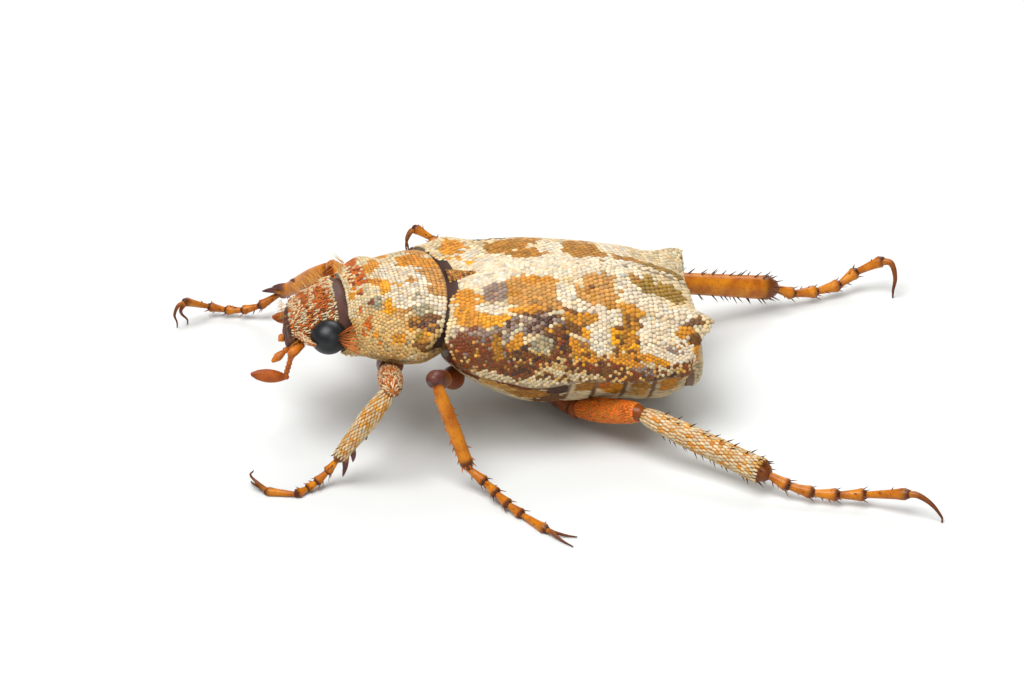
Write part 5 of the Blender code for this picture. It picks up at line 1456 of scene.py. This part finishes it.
tintsOfLegs = {"plain": (1.0, 1.0, 1.0), "dark": (0.4, 0.32, 0.5), "tip": (0.16, 0.12, 0.5),
               "plum": (0.23, 0.25, 2.2), "violet": (0.2, 0.23, 5.0)}


def shaded(parts, stops):
    # A tint for each ring, also of the rounded ends, from (place, tint name) pairs
    parts = np.concatenate([np.zeros(endRings), parts, np.ones(endRings)])
    places = [stop[0] for stop in stops]
    colours = np.array([tintsOfLegs[stop[1]] for stop in stops])
    return np.stack([np.interp(parts, places, colours[:, i]) for i in range(3)], axis=1)


def limb(start, end, radii, stops, sides=24, rings=24):
    grid = limbGrid(start, end, radii, sides, rings)
    return surfaceOf(grid, shaded(np.linspace(0.0, 1.0, rings), stops)), grid


def limbFrame(start, end):
    along = unit(np.asarray(end, float) - np.asarray(start, float))
    across = unit(np.cross(steepUp(start, end), along))
    return along, across, np.cross(along, across)


def spikePlaces(roots, directions, lies):
    points, directions, lies = (np.asarray(a, float).reshape(-1, 3) for a in (roots, directions, lies))
    order = np.arange(len(points)) / max(len(points), 1)
    return {"point": points, "normal": unit(directions), "lie": unit(lies),
            "root": np.stack([order, (order * 7.3) % 1.0], axis=1)}


def aboveFloor(places, lengths):
    tips = places["point"][:, 2] + places["normal"][:, 2] * lengths
    return tips > 0.05


spotColours = {"shank": "straw", "arm": "orange", "thigh": "orange"}     # of the spots among leg scales


def legScales(name, grid, look, seed, span=(0.06, 0.94), stretch=1.4):
    kind, pitch, size, shape = look
    draw = np.random.default_rng(seed)
    places = rowPlaces(closedAcross(grid), pitch, stretch, 0.1, seed, grid.mean(axis=1, keepdims=True))
    part = places["root"][:, 1]
    places = chosen(places, (part > span[0]) & (part < span[1]))
    count = len(places["point"])
    bare = noiseAt(places["point"], 2.3, seed) + 0.16 * draw.standard_normal(count) > 0.42
    names = [spotColours[kind] if spot else kind for spot in bare]
    grow(name, shape, places, size, varied(coloursOf(names, seed + 3), seed + 1, 0.12),
         finishes["legScales"], seed + 2, 0.12, tilt=0.09)


def makeUpperLeg(name, seed):
    leg, sizes = legs[name], legSizes[name.split("_")[0]]
    coxa, hip, knee = (np.array(leg[key]) for key in ("coxa", "hip", "knee"))
    femur, wide = sizes["femur"], sizes["coxa"]
    look = legLooks[name]
    # The coxa and the ball at the femur's root are dark horn, tinted darker as painted shade under the body.
    darkHornAndShade = ((0.0, "dark"), (1.0, "dark"))
    root, _ = limb(coxa, between(coxa, hip, 0.82),
                   ((0.0, wide * 0.75), (0.4, wide * 0.98), (1.0, wide * 0.7)), darkHornAndShade)
    ball, _ = limb(between(hip, knee, -0.02), between(hip, knee, 0.1),
                   ((0.0, femur * 0.6), (0.5, femur * 0.86), (1.0, femur * 0.6)), darkHornAndShade)
    thigh, grid = limb(between(hip, knee, 0.06), between(hip, knee, 1.02),
                       ((0.0, femur * 0.55), (0.12, femur * 0.8), (0.4, femur), (0.75, femur * 0.94),
                        (0.93, femur * sizes["kneeEnd"]), (1.0, femur * 0.58)),
                       ((0.0, "dark"), (0.12, "plain"), (0.66, look["thigh"]), (0.86, look["knee"]),
                        (1.0, look["knee"])))
    makePiece(f"upperLeg_{name}", joinSurfaces([root, ball, thigh]), finishes["rustHorn"],
              (f"coxa_{name}", f"femur_{name}"))
    if look["upper"]:
        end = 0.97 if look["knee"] == "plain" else 0.86
        legScales(f"upperLegScales_{name}", grid, look["upper"], seed, (0.08, end), 1.0)


def makeShin(name, seed):
    leg, sizes = legs[name], legSizes[name.split("_")[0]]
    draw = np.random.default_rng(seed)
    knee, ankle = np.array(leg["knee"]), np.array(leg["ankle"])
    long = np.linalg.norm(ankle - knee)
    start = between(knee, ankle, sizes["femur"] * 0.5 / long)
    end = between(knee, ankle, 1.0 - 0.1 / long)
    thin, thick = sizes["shin"], sizes["shinEnd"]
    shape, grid = limb(start, end,
                       ((0.0, thin * 0.62), (0.06, thin * 0.82), (0.35, thin), (0.7, 0.5 * (thin + thick)),
                        (0.93, thick), (0.965, thick * 1.05), (1.0, thick * 0.8)),
                       ((0.0, "dark"), (0.05, "plain"), (0.9, "plain"), (0.95, "tip"), (1.0, "dark")), 24, 36)
    parts = [shape]
    along, across, above = limbFrame(start, end)
    if name in teeth:
        outward = np.array(teeth[name])
        outward = unit(outward - along * outward.dot(along))
        for part, outwards, onwards, wide in teeth["places"]:
            foot = between(start, end, part) + outward * thin * 0.4 - along * wide
            tip = foot + outward * (thin * 0.6 + outwards) + along * (onwards + wide)
            path = smoothPath([foot, between(foot, tip, 0.5) + outward * 0.04, tip], 12)
            radius = smoothCurve(((0.0, wide * 1.15), (0.5, wide * 0.75), (0.85, wide * 0.4),
                                  (1.0, wide * 0.16)))
            steps = np.linspace(0, 1, 12)
            tints = shaded(steps, ((0.0, "plain"), (0.3, "violet"), (1.0, "violet")))
            rings = tubeRings(path, radius(steps), 14, 0.8, steepUp(foot, tip), endRings)
            parts.append(surfaceOf(rings, tints))
    makePiece(f"shin_{name}", joinSurfaces(parts), finishes["amberHorn"], (f"tibia_{name}",))
    look = legLooks[name]
    if look["shin"]:
        legScales(f"shinScales_{name}", grid, look["shin"], seed + 1, (0.05, 0.91))
    radius = smoothCurve(((0.0, thin * 0.8), (1.0, thick)))
    roots, ways, lengths = [], [], []
    rows = (70, 95, -70, -95, -125) if name.startswith("hind") else (80, -80, -110)
    for row, angle in enumerate(rows):
        for i in range(sizes["spines"]):
            part = 0.1 + 0.86 * (i + 0.5 + 0.3 * draw.uniform(-1, 1)) / sizes["spines"]
            turn = math.radians(angle + 12 * draw.uniform(-1, 1))
            outward = math.cos(turn) * across + math.sin(turn) * above
            roots.append(between(start, end, part) + outward * float(radius(part)) * 0.86)
            ways.append(outward * 0.75 + along * (0.75 + 0.2 * draw.uniform(-1, 1)))
            lengths.append(sizes["spineLength"] * draw.uniform(0.75, 1.15))
    for i in range(sizes["crown"]):
        turn = 2 * math.pi * (i + 0.3 * draw.uniform(-1, 1)) / sizes["crown"]
        outward = math.cos(turn) * across + math.sin(turn) * above
        roots.append(between(start, end, 0.975) + outward * thick * 0.8)
        ways.append(outward * 0.5 + along)
        lengths.append(sizes["crownLength"] * draw.uniform(0.7, 1.1))
    spikes(f"shinSpines_{name}", roots, ways, lengths, 0.026, along, look["spines"], seed + 4)


def spikes(name, roots, ways, lengths, thick, lie, pigment, seed, shape="spine"):
    # thick is the half width at the root, for all or for each
    places = spikePlaces(roots, ways, np.broadcast_to(lie, (len(roots), 3)))
    lengths = np.asarray(lengths, float)
    keep = aboveFloor(places, lengths)
    places, lengths = chosen(places, keep), lengths[keep]
    thick = np.broadcast_to(thick, keep.shape)[keep]
    size = np.stack([thick, thick, lengths], axis=1)
    tints = np.tile(pigmentTable[pigmentNames.index(pigment)], (len(lengths), 1))
    grow(name, shape, places, size, varied(tints, seed, 0.2), finishes["hairs"], seed + 1, 0.0)


def makeFoot(name, seed):
    leg, sizes = legs[name], legSizes[name.split("_")[0]]
    draw = np.random.default_rng(seed)
    joints = [np.array(leg["ankle"])] + [np.array(p) for p in leg["foot"]]
    parts, roots, ways, lengths = [], [], [], []
    for segment in range(len(joints) - 1):
        start, end = joints[segment], joints[segment + 1]
        wide = sizes["foot"] * (1.0 if segment < 4 else 0.92)
        final = segment == len(joints) - 2
        radii = ((0.0, wide * 0.5), (0.12, wide * 0.62), (0.7, wide * 0.95), (0.92, wide * 1.15),
                 (1.0, wide * 0.85))
        shape, _ = limb(between(start, end, -0.04), between(start, end, 0.98), radii,
                        ((0.0, "dark"), (0.2, "plain"), (0.8, "plain"), (0.97, "dark"), (1.0, "tip")), 16, 14)
        parts.append(shape)
        along, across, above = limbFrame(start, end)
        for i in range(0 if final else sizes["spurs"]):
            turn = math.radians(-90 + (i - 0.5 * (sizes["spurs"] - 1)) * 60 + 10 * draw.uniform(-1, 1))
            outward = math.cos(turn) * across + math.sin(turn) * above
            roots.append(between(start, end, 0.9) + outward * wide * 0.8)
            ways.append(outward * 0.6 + along)
            lengths.append(0.26 * draw.uniform(0.7, 1.1))
        for part in (0.35, 0.6, 0.8):
            turn = draw.uniform(0, 2 * math.pi)
            outward = math.cos(turn) * across + math.sin(turn) * above
            roots.append(between(start, end, part) + outward * wide * 0.7)
            ways.append(outward + 0.8 * along)
            lengths.append(0.16 * draw.uniform(0.7, 1.2))
    for curve in leg["claws"]:
        path = smoothPath([between(joints[-1], joints[-2], 0.1)] + [np.array(p) for p in curve], 22)
        steps = np.linspace(0.0, 1.0, 22)
        radii = sizes["claw"] * (1.0 - 0.78 * steps)
        flat = unit(np.array((path[0][1] - path[-1][1], path[-1][0] - path[0][0], 0.0)))
        grid = tubeRings(path, radii, 14, 1.0, tuple(flat), endRings)
        grid[..., 2] = np.maximum(grid[..., 2], 0.0)
        parts.append(surfaceOf(grid, shaded(steps, ((0.0, "plain"), (0.3, "dark"), (1.0, "tip")))))
    joined = joinSurfaces(parts)
    joined["points"] = [(p[0], p[1], max(p[2], 0.0)) for p in joined["points"]]
    makePiece(f"footSegments_{name}", joined, finishes["amberHorn"], (f"foot_{name}",))
    spikes(f"footBristles_{name}", roots, ways, lengths, 0.02, (0.0, 0.0, -1.0), "rust", seed + 1)


for number, name in enumerate(legs):
    makeUpperLeg(name, 100 + 20 * number)
    makeShin(name, 105 + 20 * number)
    makeFoot(name, 110 + 20 * number)
print("legs ready")

# The ridge that runs from the cheek into the front of each eye

canthus = {"path": ((-0.36, -0.84, 0.03), (-0.1, -0.78, 0.03), (0.18, -0.66, 0.02), (0.42, -0.46, -0.02)),
           "radii": (0.12, 0.11, 0.09, 0.035), "pitch": 0.07, "scaleSize": (0.055, 0.028, 0.024)}


def makeCanthus():
    for number, (side, centre) in enumerate(eye["centres"].items()):
        mirror = 1.0 if side == "left" else -1.0
        knots = [np.array(centre) + np.array(step) * (mirror, 1.0, 1.0) for step in canthus["path"]]
        path = smoothPath(knots, 14)
        radii = np.interp(np.linspace(0.0, 1.0, 14), np.linspace(0.0, 1.0, 4), canthus["radii"])
        rings = tubeRings(path, radii, 16, 0.6)
        makePiece(f"canthus_{side}", surfaceOf(rings, (0.9, 0.6, 0.45)), finishes["rustHorn"],
                  ("head",))
        places = rowPlaces(closedAcross(rings), canthus["pitch"], 1.1, 0.2, 95 + number)
        tints = coloursOf(["arm"] * len(places["point"]), 97 + number)
        grow(f"canthusScales_{side}", "leaf", places, canthus["scaleSize"], varied(tints, 98),
             finishes["faceScales"], 99 + number, 0.14, tilt=0.26)


# Hairs

hairs = {
    "fan": {"count": 11, "from": ((1.92, -4.98, 4.4), (2.16, -4.92, 3.56)),
            "to": ((1.74, -5.46, 4.1), (1.9, -5.46, 3.76)), "thick": 0.026},
    "crest": {"count": 22, "length": (0.4, 0.85), "thick": 0.011},
    "collar": {"count": 22, "length": (0.35, 0.75), "thick": 0.012, "front": -4.96, "tallest": 5.05},
    "fringe": {"count": 60, "length": (0.1, 0.28), "thick": 0.007},
    "cheek": {"count": 30, "length": (0.2, 0.34), "thick": 0.014},
    "skirt": {"count": 90, "length": (0.12, 0.24), "thick": 0.012},
}


def makeFan():
    values = hairs["fan"]
    roots, ways, lengths = [], [], []
    draw = np.random.default_rng(301)
    for side in (1.0, -1.0):
        for i in range(values["count"]):
            part = (i + 0.3 * draw.uniform(-1, 1)) / (values["count"] - 1)
            root = between(*values["from"], part) * (side, 1, 1)
            tip = between(*values["to"], 0.15 + 0.7 * part) * (side, 1, 1)
            roots.append(root)
            ways.append(tip - root)
            lengths.append(np.linalg.norm(tip - root) * draw.uniform(0.8, 1.1))
    spikes("collarFan", roots, ways, lengths, values["thick"], (0.0, 0.0, -1.0), "orange", 302,
           "bristle")


def makeHeadHairs():
    draw = np.random.default_rng(311)
    roots, ways, lengths, thicks = [], [], [], []
    values = hairs["crest"]
    for i in range(values["count"]):
        y = -6.35 + 1.0 * draw.uniform()
        x = -1.0 + 0.7 * draw.uniform()
        top = float(curves["headTop"](y))
        roots.append((x, headPlace(x, y), top - 0.1 - 0.3 * x * x))
        ways.append((-0.8 + 0.3 * draw.uniform(-1, 1), -0.5 + 0.4 * draw.uniform(-1, 1),
                     0.25 + 0.12 * draw.uniform(-1, 1)))
        lengths.append(draw.uniform(*values["length"]))
        thicks.append(values["thick"])
    values = hairs["collar"]
    for i in range(values["count"]):
        x = -1.7 + 1.2 * draw.uniform()
        z = float(curves["pronotumTop"](values["front"])) - 0.12 - 0.1 * x * x
        way = unit(np.array((-0.6, -0.45, 0.34)) + (0.3, 0.3, 0.15) * draw.uniform(-1, 1, 3))
        roots.append((x, values["front"] + 0.1 * x * x, z))
        ways.append(way)
        lengths.append(min(draw.uniform(*values["length"]), (values["tallest"] - z) / max(way[2], 0.1)))
        thicks.append(values["thick"])
    values = hairs["fringe"]
    for i in range(values["count"]):
        x = draw.uniform(-1.1, 1.1)
        y = clypeus["start"] - clypeus["length"] + 0.16 * x * x + 0.02
        z = 4.22 - 0.5 * draw.uniform() - 0.32 * x * x
        roots.append((x, y, z))
        ways.append((0.6 * x, -1.0, -0.35 + 0.5 * draw.uniform(-1, 1)))
        lengths.append(draw.uniform(*values["length"]))
        thicks.append(values["thick"])
    spikes("headHairs", roots, ways, lengths, np.array(thicks), (0.0, 0.3, 1.0), "straw", 312, "hair")


def makeCheekHairs():
    # golden tufts below the clypeus and round the root of the feelers
    values = hairs["cheek"]
    draw = np.random.default_rng(321)
    roots, ways, lengths = [], [], []
    for side in (1.0, -1.0):
        for i in range(values["count"]):
            y = -6.6 + 0.55 * draw.uniform()
            roots.append((side * (0.75 + 0.35 * draw.uniform()), y, 3.42 + 0.22 * draw.uniform()))
            ways.append((side * (0.5 + 0.4 * draw.uniform(-1, 1)), -0.6, -0.5 + 0.4 * draw.uniform(-1, 1)))
            lengths.append(draw.uniform(*values["length"]))
    spikes("cheekHairs", roots, ways, lengths, values["thick"], (0.0, 0.3, 1.0), "yellow", 322,
           "hair")


def makeSkirtHairs():
    # short golden hairs under the side edges of the pronotum
    values = hairs["skirt"]
    draw = np.random.default_rng(331)
    edge = pronotumRings()[:, pronotum["columns"]]
    roots, ways, lengths = [], [], []
    for side in (1.0, -1.0):
        for _ in range(values["count"]):
            foot = edge[int(draw.uniform(0, len(edge)))] + (-0.06, 0.04 * draw.uniform(-1, 1), -0.04)
            roots.append(foot * (side, 1.0, 1.0))
            ways.append((side * (0.45 + 0.3 * draw.uniform(-1, 1)), 0.5 * draw.uniform(-0.2, 1), -0.8))
            lengths.append(draw.uniform(*values["length"]))
    spikes("skirtHairs", roots, ways, lengths, values["thick"], (0.0, 0.3, 1.0), "straw", 332,
           "hair")


makeCanthus()
makeSkirtHairs()
makeFan()
makeHeadHairs()
makeCheekHairs()
print("hairs ready")


for shape in growthShapes.values():
    bpy.data.objects.remove(shape)
print("pieces ready")
